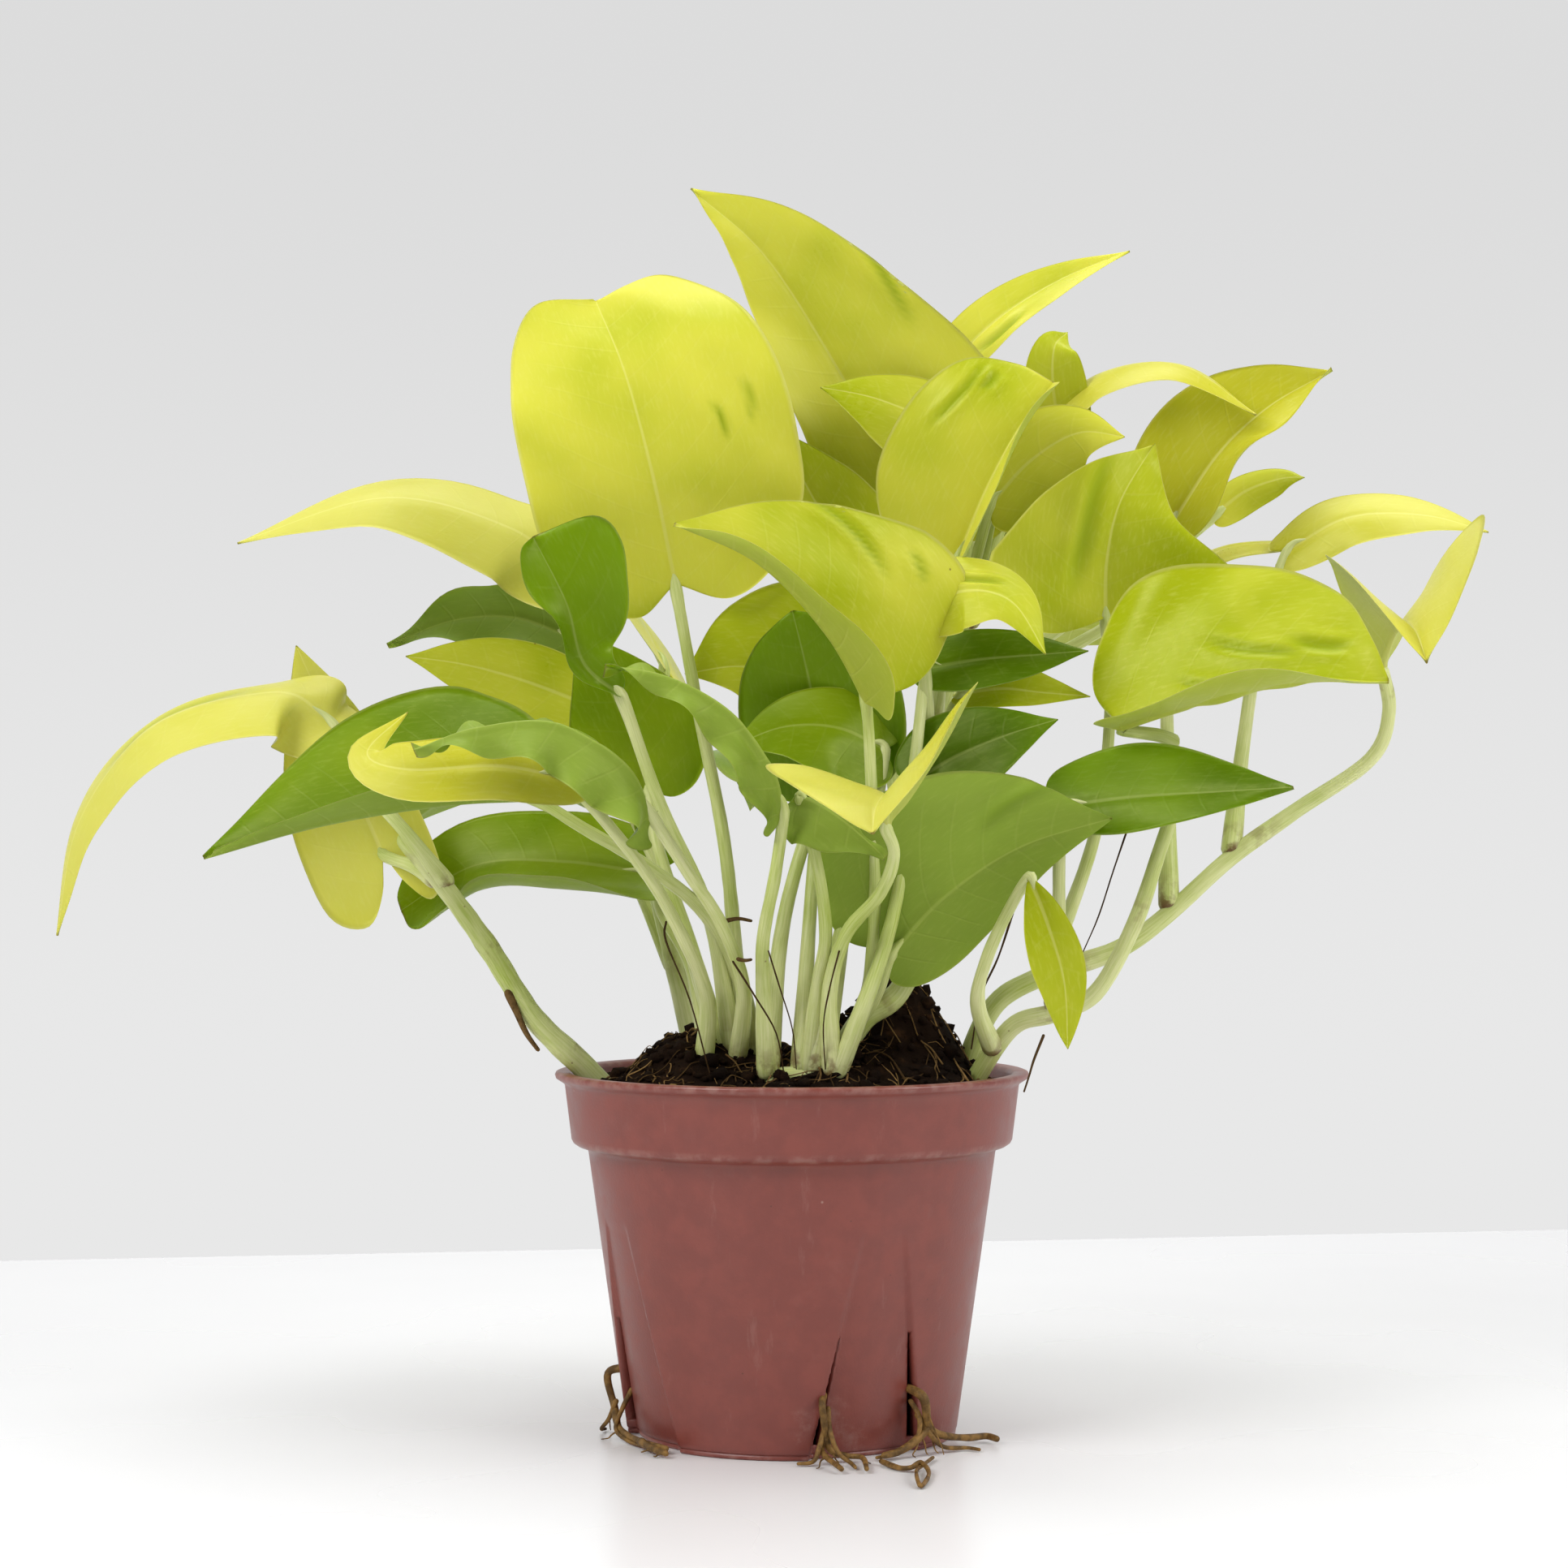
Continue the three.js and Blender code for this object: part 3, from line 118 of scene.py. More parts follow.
# Leaves. rib runs from the stalk's end to the tip and face points out of the upper side.
# left and right are half width, fold in degrees at the rib and curl in degrees to the margin.
# wave is height, count and phase along the margin. stalk starts in the vine named by stem.
# shape names the blade's outline, which is heart where none is given.
# shift makes a leaf paler or, below 0, deeper than its tone; on leaf_crown it is painted light
# and on leaf_wavy and leaf_curly painted shade. blisters are raised scars as share along, share of
# the half width across, length, width and turn in degrees.
# The deep tone is painted shade: a darker green for leaves that lie in the shade of the others.
LEAVES = {
    "leaf_round": {
        "tone": "lime", "shift": 0.08, "stem": "stem_centre_left",
        "stalk": [(-12, -21, 93), (-14, -20, 121), (-17, -20, 150), (-24, -17, 185)],
        "rib": [(-29, -18, 213), (-34, -28, 238), (-41, -28, 264), (-49, -18, 284)],
        "face": (0.1, -1, 0.12), "left": (31, 4, -8), "right": (38, 4, -12),
        "wave": (1.5, 1.2, 0.2), "shape": "notched",
        "blisters": [(0.5, 0.71, 9, 0.9, 0), (0.46, 0.5, 8, 0.9, -10)]},
    # Painted light: leaf_crown's paler shift makes up for the light its tilted face doesn't catch.
    "leaf_crown": {
        "tone": "lime", "shift": 0.2, "stem": "stem_main",
        "stalk": [(36, -10, 188), (40, 4, 208)],
        "rib": [(37, 14, 229), (16, 10, 264), (-6, 4, 298), (-26, -4, 315)],
        "face": (-0.35, -1, 0.25), "left": (20, 22, 20), "right": (35, 14, -10),
        "wave": (1.2, 1.5, 0), "shape": "pointed", "blisters": [(0.53, 0.57, 27, 1.3, -5)]},
    "leaf_centre": {
        "tone": "lime", "shift": -0.08, "stem": "stem_main",
        "stalk": [(17, -27, 105), (19, -31, 116), (20, -37, 138), (19, -42, 162)],
        "rib": [(18, -46, 183), (8, -54, 199), (-8, -60, 215), (-28, -64, 224)],
        "face": (0.35, -1, 0.3), "left": (13, 86, 20), "right": (40, 8, -8),
        "wave": (1.2, 1.5, 0.4), "shape": "pointed",
        "blisters": [(0.5, 0.5, 22, 1.3, 0), (0.28, 0.73, 6, 1.2, 20)]},
    "leaf_big_right": {
        "tone": "lime", "shift": -0.14, "stem": "stem_right",
        "stalk": [(62, -9, 115), (70, -10, 133), (77, -9, 155), (80, -8, 182)],
        "rib": [(79, -8, 206), (79, -12, 220), (82, -15, 234), (91, -10, 249)],
        "face": (0.1, -1, 0.12), "left": (33, 8, 10), "right": (36, 8, 16),
        "wave": (1.5, 1.4, 0.5), "shape": "pointed", "blisters": [(0.52, -0.31, 30, 2.2, 0)]},
    "leaf_right_large": {
        "tone": "lime", "shift": -0.2, "stem": "stem_right_front",
        "stalk": [(94, -28, 173), (90, -32, 175)],
        "rib": [(80, -34, 177), (97, -40, 182), (121, -48, 187), (142, -54, 187)],
        "face": (-0.1, -0.8, 0.6), "left": (37, 10, 10), "right": (13, 60, 20),
        "wave": (1.6, 1.6, 0.1), "shape": "broad",
        "blisters": [(0.55, -0.35, 18, 1.2, 25), (0.75, -0.3, 12, 1.5, 10),
                     (0.4, -0.15, 14, 1, 20)]},
    "leaf_spoon": {
        "tone": "lime", "shift": 0.04, "stem": "stem_main",
        "stalk": [(35, -13, 178), (38, -16, 198)],
        "rib": [(41, -18, 219), (48, -22, 236), (56, -24, 251), (65, -22, 263)],
        "face": (-0.1, -1, 0.2), "left": (28, 4, -10), "right": (15, 62, 30),
        "wave": (1, 1.2, 0), "shape": "round",
        "blisters": [(0.68, -0.68, 18, 1.1, 9), (0.8, -0.48, 6, 1.4, 0)]},
    "leaf_right_high": {
        "tone": "yellow", "shift": -0.22, "stem": "stem_right",
        "stalk": [(95, -6, 131), (96, 4, 165), (97, 14, 205)],
        "rib": [(99, 18, 232), (111, 16, 250), (124, 14, 262), (140, 12, 271)],
        "face": (-0.15, -1, 0.25), "left": (19, 8, 10), "right": (14, 30, 40),
        "wave": (1.5, 1.6, 0.3)},
    "leaf_green_left": {
        "tone": "green", "shift": -0.16, "stem": "stem_centre_left",
        "stalk": [(-10, -19, 93), (-12, -26, 112), (-21, -31, 131), (-35, -35, 143),
                  (-50, -38, 152)],
        "rib": [(-63, -38, 160), (-86, -42, 158), (-114, -44, 153), (-142, -44, 145)],
        "face": (0, -0.8, 0.6), "left": (10, 88, 20), "right": (34, 12, -14),
        "wave": (1, 1.4, 0.3)},
    "leaf_far_left": {
        "tone": "yellow", "shift": 0.12, "stem": "stem_left",
        "stalk": [(-86, -7, 137), (-96, -8, 150), (-108, -6, 164)],
        "rib": [(-116, -4, 179), (-130, -6, 187), (-160, -10, 178), (-178, -12, 155),
                (-184, -12, 125)],
        "face": (-0.45, -0.6, 0.75), "left": (16, -6, -10), "right": (15, -14, -20),
        "blisters": [(0.47, 0.05, 34, 3, 0)]},
    "leaf_right_folded": {
        "tone": "yellow", "stem": "stem_right", "stalk": [],
        "rib": [(150, 0, 194), (151, -15, 202), (152, -32, 201), (152, -48, 192)],
        "face": (0.08, 0.1, 1), "left": (33, 58, 6), "right": (27, 32, 6), "shape": "kite"},
    "leaf_left_long": {
        "tone": "yellow", "shift": 0.2, "stem": "stem_back_left",
        "stalk": [(-46, 20, 185), (-52, 10, 204)],
        "rib": [(-56, 2, 217), (-72, -2, 229), (-103, -6, 236), (-140, -10, 224)],
        "face": (-0.1, -0.75, 0.7), "left": (16, -6, -14), "right": (15, -10, -12)},
    "leaf_grey_large": {
        "tone": "green", "shift": -0.2, "stem": "stem_main",
        "stalk": [(17, -27, 105), (21, -31, 113)],
        "rib": [(24, -34, 122), (37, -38, 136), (55, -42, 148), (77, -46, 155)],
        "face": (0, 1, 0.25), "left": (15, 6, 0), "right": (31, 6, -12), "wave": (1, 1.3, 0),
        "blisters": [(0.72, 0.3, 18, 1.6, 10)]},
    "leaf_green_right": {
        "tone": "deep", "shift": 0.02, "stem": "stem_right_front",
        "stalk": [(64, -27, 107), (65, -31, 128), (65, -34, 146)],
        "rib": [(66, -36, 158), (83, -42, 160), (101, -49, 161), (119, -56, 162)],
        "face": (0, -1, 0.45), "left": (15, 0, -12), "right": (9, 0, -8),
        "wave": (0.8, 1.5, 0)},
    # Painted shade: leaf_wavy's deeper shift holds back the sheen of the top light.
    "leaf_wavy": {
        "tone": "green", "shift": -0.16, "stem": "stem_centre",
        "stalk": [(-6, -35, 91), (-7, -38, 113), (-7, -44, 126), (-4, -52, 142)],
        "rib": [(-3, -58, 156), (-6, -64, 167), (-15, -68, 179), (-29, -70, 187),
                (-44, -70, 190)],
        "face": (-0.3, 0.45, -0.85), "left": (10, 30, 20), "right": (9, 30, 20),
        "wave": (2.6, 3.4, 0.2), "blisters": [(0.35, 0.3, 9, 1.5, 0)]},
    "leaf_wavy_small": {
        "tone": "green", "stem": "stem_centre",
        "stalk": [(4, -34, 92), (6, -36, 113), (8, -42, 127), (6, -47, 143)],
        "rib": [(2, -49, 159), (7, -53, 157), (14, -55, 152), (22, -56, 145)],
        "face": (-0.3, 0.8, -0.6), "left": (11, 20, 10), "right": (7, 10, 10),
        "wave": (1.6, 2.4, 0.1)},
    "leaf_twist_front": {
        "tone": "yellow", "stem": "stem_centre",
        "stalk": [(10, -37, 91), (9, -38, 112), (13, -44, 127), (21, -52, 137), (24, -58, 146)],
        "rib": [(22, -60, 153), (22, -72, 160), (19, -84, 157), (18, -92, 151)],
        "face": (0, 0.1, 1), "left": (37, 44, 6), "right": (28, 20, 0), "shape": "kite"},
    # Painted shade: leaf_curly's deeper shift holds back the sheen of the top light.
    "leaf_curly": {
        "tone": "green", "shift": -0.16, "stem": "stem_centre_left",
        "stalk": [(-14, -24, 93), (-12, -34, 113), (-17, -44, 129), (-25, -53, 142)],
        "rib": [(-34, -60, 155), (-40, -68, 167), (-55, -72, 176), (-73, -74, 175),
                (-88, -74, 170)],
        "face": (0.1, 0.5, -0.9), "left": (11, 20, 30), "right": (13, 25, 30),
        "wave": (2.8, 4, 0), "blisters": [(0.4, -0.3, 8, 1.3, 0)]},
    "leaf_small_yellow": {
        "tone": "yellow", "stem": "stem_centre_left",
        "stalk": [(-22, -27, 93), (-21, -32, 111), (-27, -40, 127), (-36, -48, 143)],
        "rib": [(-53, -56, 164), (-69, -62, 167), (-90, -66, 166), (-100, -62, 170),
                (-91, -56, 180)],
        "face": (0, -0.9, 0.5), "left": (9, 0, -10), "right": (9, 0, -6)},
    "leaf_lower_left": {
        "tone": "green", "shift": 0.1, "stem": "stem_centre_left",
        "stalk": [(-20, -25, 93), (-25, -8, 117), (-33, 2, 131)],
        "rib": [(-36, 6, 141), (-59, 12, 144), (-82, 18, 143), (-102, 22, 131)],
        "face": (0, -0.85, 0.55), "left": (21, -10, 110), "right": (15, 6, -6),
        "shape": "round"},
    "leaf_yellow_behind": {
        "tone": "yellow", "stem": "stem_left", "stalk": [(-89, -6, 139), (-97, 2, 143)],
        "rib": [(-105, 8, 146), (-113, 10, 164), (-120, 12, 182), (-128, 12, 200)],
        "face": (-0.05, -1, 0.1), "left": (20, 0, -6), "right": (13, 0, -6), "shape": "lobed"},
    "leaf_twisted": {
        "tone": "deep", "shift": 0.2, "stem": "stem_centre_left",
        "stalk": [(-14, -23, 93), (-20, -30, 130), (-32, -38, 158)],
        "rib": [(-41, -44, 184), (-50, -48, 192), (-54, -50, 206), (-62, -52, 222)],
        "face": (0.25, -1, 0), "left": (7, 10, 20), "right": (19, 4, 30),
        "wave": (1.8, 2, 0.5), "shape": "spatula"},
    "leaf_hanging": {
        "tone": "lime", "shift": -0.12, "stem": "stem_right_front",
        "stalk": [(50, -20, 97), (45, -34, 110), (47, -44, 122), (52, -52, 134)],
        "rib": [(56, -56, 141), (60, -60, 130), (64, -60, 116), (65, -58, 100)],
        "face": (-0.2, -1, 0.1), "left": (6, 6, 6), "right": (7, 6, 6), "shape": "lance"},
    "leaf_arching": {
        "tone": "yellow", "stem": "stem_back_right", "stalk": [(46, 28, 205), (56, 27, 235)],
        "rib": [(64, 24, 259), (80, 18, 271), (100, 10, 272), (119, 3, 258)],
        "face": (0, -0.3, 1), "left": (11, -10, -20), "right": (13, -14, -20)},
    "leaf_right_outer": {
        "tone": "yellow", "stem": "stem_right",
        "stalk": [(111, -3, 145), (116, 8, 175), (122, 16, 205)],
        "rib": [(129, 20, 225), (144, 14, 233), (162, 8, 233), (178, 2, 228)],
        "face": (0.05, -0.75, 0.7), "left": (10, 0, -12), "right": (9, -8, -16)},
    "leaf_upper_right": {
        "tone": "lime", "shift": 0.16, "stem": "stem_back_right",
        "stalk": [(46, 28, 205), (46, 32, 240)],
        "rib": [(39, 30, 272), (54, 32, 287), (71, 34, 298), (90, 34, 306)],
        "face": (-0.2, -0.8, 0.5), "left": (8, 10, 10), "right": (11, 18, 10),
        "blisters": [(0.3, 0.4, 16, 1.6, 0)]},
    "leaf_right_of_centre": {
        "tone": "lime", "shift": -0.1, "stem": "stem_main",
        "stalk": [(34, -16, 165), (33, -26, 186)],
        "rib": [(31, -34, 206), (42, -38, 210), (53, -42, 207), (61, -46, 194)],
        "face": (0.25, -0.9, 0.5), "left": (12, -4, -14), "right": (10, -10, -10),
        "blisters": [(0.4, -0.4, 12, 1, 0)]},
    "leaf_behind_spoon": {
        "tone": "lime", "stem": "stem_main", "stalk": [(36, -10, 188), (46, -4, 212)],
        "rib": [(52, -2, 242), (38, -3, 254), (22, -5, 261), (7, -6, 264)],
        "face": (0.1, -1, 0.4), "left": (16, 0, -10), "right": (12, 0, 0)},
    "leaf_mid_gap": {
        "tone": "lime", "stem": "stem_main", "stalk": [(36, -10, 188), (44, -6, 212)],
        "rib": [(50, -7, 234), (60, -8, 245), (72, -9, 252), (84, -9, 251)],
        "face": (0.1, -1, 0.3), "left": (12, 0, 0), "right": (13, 0, 0)},
    "leaf_small_curl": {
        "tone": "lime", "stem": "stem_back_right", "stalk": [(46, 28, 205), (58, 28, 232)],
        "rib": [(71, 22, 253), (68, 16, 266), (68, 14, 277), (72, 20, 282)],
        "face": (0.1, -1, 0.1), "left": (8, 0, 0), "right": (9, 10, 10)},
    "leaf_pale_back": {
        "tone": "yellow", "stem": "stem_back_right",
        "stalk": [(38, 30, 180), (66, 36, 196), (90, 38, 210)],
        "rib": [(102, 34, 221), (116, 32, 227), (131, 30, 228), (147, 28, 228)],
        "face": (0, -0.4, 1), "left": (9, -10, -10), "right": (9, 0, -10)},
    "leaf_far_back": {
        "tone": "lime", "stem": "stem_back_right",
        "stalk": [(38, 30, 180), (70, 44, 205), (98, 52, 224)],
        "rib": [(115, 52, 238), (123, 52, 244), (132, 50, 247), (138, 46, 247)],
        "face": (0, -1, 0.5), "left": (5, 0, 0), "right": (6, -20, -20)},
    "leaf_left_grey": {
        "tone": "green", "stem": "stem_back_left", "stalk": [(-46, 20, 185), (-52, 22, 196)],
        "rib": [(-57, 20, 203), (-72, 20, 208), (-88, 18, 207), (-105, 14, 200)],
        "face": (0.1, 0.75, 0.6), "left": (12, 0, -10), "right": (13, 10, 10),
        "wave": (1.6, 2.4, 0)},
    "leaf_left_lime": {
        "tone": "lime", "stem": "stem_centre_left",
        "stalk": [(-16, -24, 93), (-28, -12, 130), (-42, -4, 160)],
        "rib": [(-52, 2, 184), (-68, 0, 190), (-83, -2, 194), (-98, -4, 196)],
        "face": (0, -1, 0.35), "left": (12, 0, -10), "right": (11, 0, -8)},
    "leaf_inner_left": {
        "tone": "green", "stem": "stem_centre_left",
        "stalk": [(-16, -24, 93), (-24, -20, 120), (-33, -14, 146)],
        "rib": [(-36, -10, 162), (-40, -14, 175), (-46, -16, 188), (-54, -16, 202)],
        "face": (0, -1, 0.2), "left": (16, 0, 0), "right": (18, 0, 0)},
    "leaf_dark_centre": {
        "tone": "deep", "stem": "stem_centre",
        "stalk": [(2, -34, 92), (4, -24, 125), (6, -16, 150)],
        "rib": [(8, -16, 163), (6, -22, 180), (3, -26, 194), (0, -28, 206)],
        "face": (-0.1, -1, 0.15), "left": (19, 4, 0), "right": (22, 4, 0), "shape": "broad"},
    "leaf_inner_lime": {
        "tone": "lime", "shift": -0.16, "stem": "stem_centre",
        "stalk": [(-6, -35, 91), (-2, -22, 130), (8, -12, 165)],
        "rib": [(13, -8, 184), (0, -10, 190), (-13, -12, 193), (-27, -14, 191)],
        "face": (0, -1, 0.2), "left": (12, 0, 0), "right": (27, 4, -6)},
    "leaf_inner_green": {
        "tone": "green", "stem": "stem_centre",
        "stalk": [(5, -35, 92), (12, -33, 128), (20, -29, 156)],
        "rib": [(23, -26, 172), (11, -32, 177), (-2, -36, 177), (-15, -38, 172)],
        "face": (0, -0.9, 0.5), "left": (14, -6, -6), "right": (12, 0, -6)},
    "leaf_dark_mid": {
        "tone": "deep", "stem": "stem_centre",
        "stalk": [(10, -37, 91), (24, -38, 130), (30, -32, 170)],
        "rib": [(33, -24, 192), (46, -26, 194), (60, -28, 195), (73, -28, 196)],
        "face": (0, -1, 0.5), "left": (9, 0, -6), "right": (8, 0, -6)},
    "leaf_dark_right": {
        "tone": "deep", "stem": "stem_main", "stalk": [(33, -22, 142), (31, -25, 153)],
        "rib": [(30, -28, 164), (40, -31, 170), (52, -33, 175), (65, -34, 179)],
        "face": (0, -1, 0.4), "left": (12, 0, 0), "right": (12, 0, 0)},
    "leaf_lime_low": {
        "tone": "lime", "stem": "stem_main", "stalk": [(34, -16, 165), (38, -18, 178)],
        "rib": [(42, -20, 186), (52, -22, 187), (62, -22, 186), (74, -22, 185)],
        "face": (0, -1, 0.4), "left": (8, 0, 0), "right": (5, 0, 0)},
    "leaf_under_crown": {
        "tone": "lime", "stem": "stem_centre",
        "stalk": [(7, -35, 92), (14, -22, 140), (17, -12, 185)],
        "rib": [(20, -4, 208), (12, -6, 224), (3, -8, 240), (-4, -6, 254)],
        "face": (0, -1, 0.1), "left": (14, 0, 0), "right": (16, 0, 0)},
    "leaf_back_high": {
        "tone": "lime", "stem": "stem_back_right", "stalk": [(30, 28, 150), (24, 46, 185)],
        "rib": [(20, 58, 214), (22, 78, 240), (18, 92, 262), (10, 98, 276)],
        "face": (0.1, 1, 0.35), "left": (24, 4, -10), "right": (24, 4, -10)},
    "leaf_back_left_high": {
        "tone": "lime", "stem": "stem_back_left", "stalk": [(-36, 24, 140), (-36, 44, 170)],
        "rib": [(-34, 60, 196), (-44, 82, 214), (-58, 100, 224), (-76, 114, 222)],
        "face": (-0.1, 0.75, 0.8), "left": (22, 4, -10), "right": (22, 4, -10)},
    "leaf_back_left_low": {
        "tone": "green", "stem": "stem_back_left", "stalk": [(-30, 22, 115), (-42, 36, 140)],
        "rib": [(-52, 46, 158), (-72, 64, 166), (-92, 82, 164), (-112, 96, 152)],
        "face": (-0.3, 0.5, 0.9), "left": (21, 6, -10), "right": (21, 6, -10)},
    "leaf_back_centre": {
        "tone": "green", "stem": "stem_back_right", "stalk": [(24, 26, 120), (8, 44, 145)],
        "rib": [(0, 62, 164), (-2, 84, 172), (-6, 104, 170), (-12, 120, 158)],
        "face": (0, 0.4, 1), "left": (21, 8, -10), "right": (21, 8, -10)},
    "leaf_back_right": {
        "tone": "lime", "stem": "stem_back_right", "stalk": [(30, 28, 150), (40, 44, 172)],
        "rib": [(46, 56, 190), (62, 76, 204), (82, 92, 210), (102, 104, 204)],
        "face": (0.2, 0.6, 0.8), "left": (22, 4, -12), "right": (22, 4, -12)},
}

# Roots out of the slits: [degrees to the right of the front, radius, height] in millimetres.
ROOTS = {
    "root_left": (1.3, [
        [(-86, 46.5, 15), (-84, 45, 7), (-75, 44.5, 2.4), (-58, 44.3, 1.7), (-42, 45.2, 1.5)],
        [(-58, 44.3, 1.7), (-46, 47, 1.4), (-38, 49, 1.3)],
    ]),
    "root_middle": (1.1, [
        [(9, 45.8, 14), (10.5, 44.8, 6.5), (12, 44.6, 3), (17, 45, 1.7), (21, 47, 1.4),
         (17, 60, 1.2)],
        [(10.5, 44.8, 6.5), (9, 45.6, 3), (11.5, 59, 1.2)],
    ]),
    "root_right": (1.4, [
        [(43, 46.8, 14), (46, 46.2, 6.6), (52, 47, 4), (63, 48.5, 2.2), (71, 51, 1.6),
         (68, 55, 1.5)],
        [(46, 46.2, 6.6), (40, 46, 3.6), (34, 46, 1.8), (27, 47.5, 1.5)],
    ]),
}


def shade(code):
    """A linear colour from six hex digits."""
    parts = [int(code[i:i + 2], 16) / 255 for i in (0, 2, 4)]
    return tuple(c / 12.92 if c <= 0.04045 else ((c + 0.055) / 1.055) ** 2.4 for c in parts)


def length(name, default, text, low=0.0, high=1.0):
    """A setting in Blender's metres."""
    return FloatProperty(name=name, description=text, default=default, min=low, max=high,
                         unit="LENGTH", precision=5)


def colour(name, code, text):
    """A setting that holds a colour, given by six hex digits."""
    return FloatVectorProperty(name=name, description=text, default=shade(code), size=3,
                               min=0.0, max=1.0, subtype="COLOR")


class PotSettings(bpy.types.PropertyGroup):
    """Sizes and colours of the nursery pot."""

    lip_radius: length("Lip radius", LIP_R, "Outer radius of the lip")
    height: length("Height", POT_TOP, "Height of the lip above the surface")
    lip_drop: length("Lip drop", 0.0022, "Depth of the flared lip")
    band_top: length("Band top radius", 0.0575, "Outer radius of the band under the lip")
    band_low: length("Band low radius", 0.0559, "Outer radius at the foot of the band")
    band_z: length("Band foot", 0.0735, "Height of the foot of the band")
    body_top: length("Body top radius", 0.0516, "Outer radius of the body under the band")
    body_z: length("Body top height", 0.0715, "Height of the top of the body")
    base: length("Base radius", 0.0415, "Outer radius at the foot")
    wall: length("Wall", 0.002, "Thickness of the wall")
    floor: length("Floor", 0.0024, "Thickness of the floor")
    panel_depth: length("Panel depth", 0.0026, "How far each panel is sunk at the foot")
    panels: IntProperty(name="Panels", description="Sunk panels round the wall", default=4, min=1)
    plastic: colour("Plastic", "834137", "Colour of the moulded plastic")
    plastic_dark: colour("Plastic shade", "7A3B32", "Darker mottling of the plastic")
    dust: colour("Dust", "B79A8E", "Dried water marks and dust on the plastic")


class PlantSettings(bpy.types.PropertyGroup):
    """Sizes and colours of the plant."""

    blade: length("Blade thickness", 0.0005, "Thickness of a leaf blade away from its rib")
    rib: length("Rib depth", 0.0009, "How far the middle rib stands out of the underside")
    vein_gap: length("Vein spacing", 0.0085, "Distance between side veins along the rib")
    stalk: length("Stalk radius", 0.0019, "Radius of a leaf stalk at its foot")
    stalk_tip: length("Stalk tip radius", 0.0013, "Radius of a leaf stalk at its blade")
    yellow: colour("Yellow leaf", "CDC95C", "Palest leaves")
    lime: colour("Lime leaf", "CFCC44", "Most of the upper leaves")
    green: colour("Green leaf", "849A0A", "Older leaves")
    # Painted shade: the deep tone is a darker green given to leaves that lie in the shade of the
    # others.
    deep: colour("Deep green leaf", "6A8806", "Leaves in the shade of the others")
    yellow_deep: colour("Yellow leaf, deeper", "BDB92A", "Deeper patches of yellow leaves")
    lime_deep: colour("Lime leaf, deeper", "A2AC12", "Deeper patches of lime leaves")
    green_deep: colour("Green leaf, deeper", "5E7A04", "Deeper patches of green leaves")
    # Painted shade: shadow holds the deeper patches of those shaded leaves.
    shadow: colour("Deep leaf, deeper", "486404", "Deeper patches of the darkest leaves")
    under: colour("Underside", "8C9E50", "Greyed green of the undersides")
    stalk_pale: colour("Pale stalk", "D9DBA0", "Pale green of stalks and vines")
    stalk_green: colour("Green stalk", "A4B44A", "Greener streaks of stalks and vines")
    scar: colour("Scar", "6B4A26", "Brown tips, sheaths and scars")


class GroundSettings(bpy.types.PropertyGroup):
    """Sizes and colours of the peat and the roots."""

    crumbs: IntProperty(name="Crumbs", description="Loose crumbs of peat", default=2200, min=0)
    fibres: IntProperty(name="Fibres", description="Loose fibres in the peat", default=460, min=0)
    peat: colour("Peat", "20130A", "Dark moist peat")
    peat_dry: colour("Dry peat", "432C19", "Drier crumbs")
    fibre: colour("Fibre", "97774A", "Straw and root fibres")
    root: colour("Root", "8F6C38", "Roots outside the pot")


class StageSettings(bpy.types.PropertyGroup):
    """The table, the backdrop, the lights and the camera."""

    camera_distance: length("Camera distance", 0.825, "From the pot's axis to the camera", high=5)
    camera_height: length("Camera height", 0.1495, "Height of the camera", high=5)
    camera_side: FloatProperty(name="Camera side", description="Sideways place of the camera",
                               default=-0.002, unit="LENGTH")
    camera_pitch: FloatProperty(name="Camera pitch", description="How far the camera looks up",
                                default=math.radians(0.99), subtype="ANGLE")
    focal: FloatProperty(name="Focal length", description="Lens in millimetres", default=74.53)
    table_depth: length("Table depth", 0.376, "From the pot's axis to the table's far edge", high=5)
    table: colour("Table", "ECECED", "White lacquered table")
    backdrop: colour("Backdrop", "E8E8E8", "Pale grey light of the backdrop")


SETTINGS = {"pot": PotSettings, "plant": PlantSettings, "ground": GroundSettings,
            "stage": StageSettings}


def settings(part):
    """The scene's settings for the pot, the plant, the ground or the stage."""
    return getattr(bpy.context.scene, "pothos_" + part)


# ---------------------------------------------------------------- shader helpers

# Sockets of a Mix node that mixes colours.
MIX_FACTOR, MIX_LOW, MIX_HIGH, MIX_RESULT = 0, 6, 7, 2

def node(tree, kind, inputs=None, **props):
    """A shader node with its properties set and its inputs set or joined."""
    made = tree.nodes.new("ShaderNode" + kind)
    for key, value in props.items():
        setattr(made, key, value)
    for key, value in (inputs or {}).items():
        socket = made.inputs[key]
        if isinstance(value, bpy.types.NodeSocket):
            tree.links.new(value, socket)
        elif hasattr(socket.default_value, "__len__") and len(socket.default_value) == 4:
            socket.default_value = (*value[:3], 1)
        else:
            socket.default_value = value
    return made


def math_node(tree, operation, *values):
    """The result of a Math node."""
    return node(tree, "Math", dict(enumerate(values)), operation=operation).outputs[0]


def blend(tree, factor, low, high):
    """A colour between low at factor 0 and high at factor 1."""
    mix = node(tree, "Mix", {MIX_FACTOR: factor, MIX_LOW: low, MIX_HIGH: high},
               data_type="RGBA")
    return mix.outputs[MIX_RESULT]


def ramp(tree, value, low, high, to_low=0.0, to_high=1.0):
    """A smooth step of value from low..high to to_low..to_high."""
    inputs = {0: value, 1: low, 2: high, 3: to_low, 4: to_high}
    return node(tree, "MapRange", inputs, interpolation_type="SMOOTHSTEP").outputs[0]


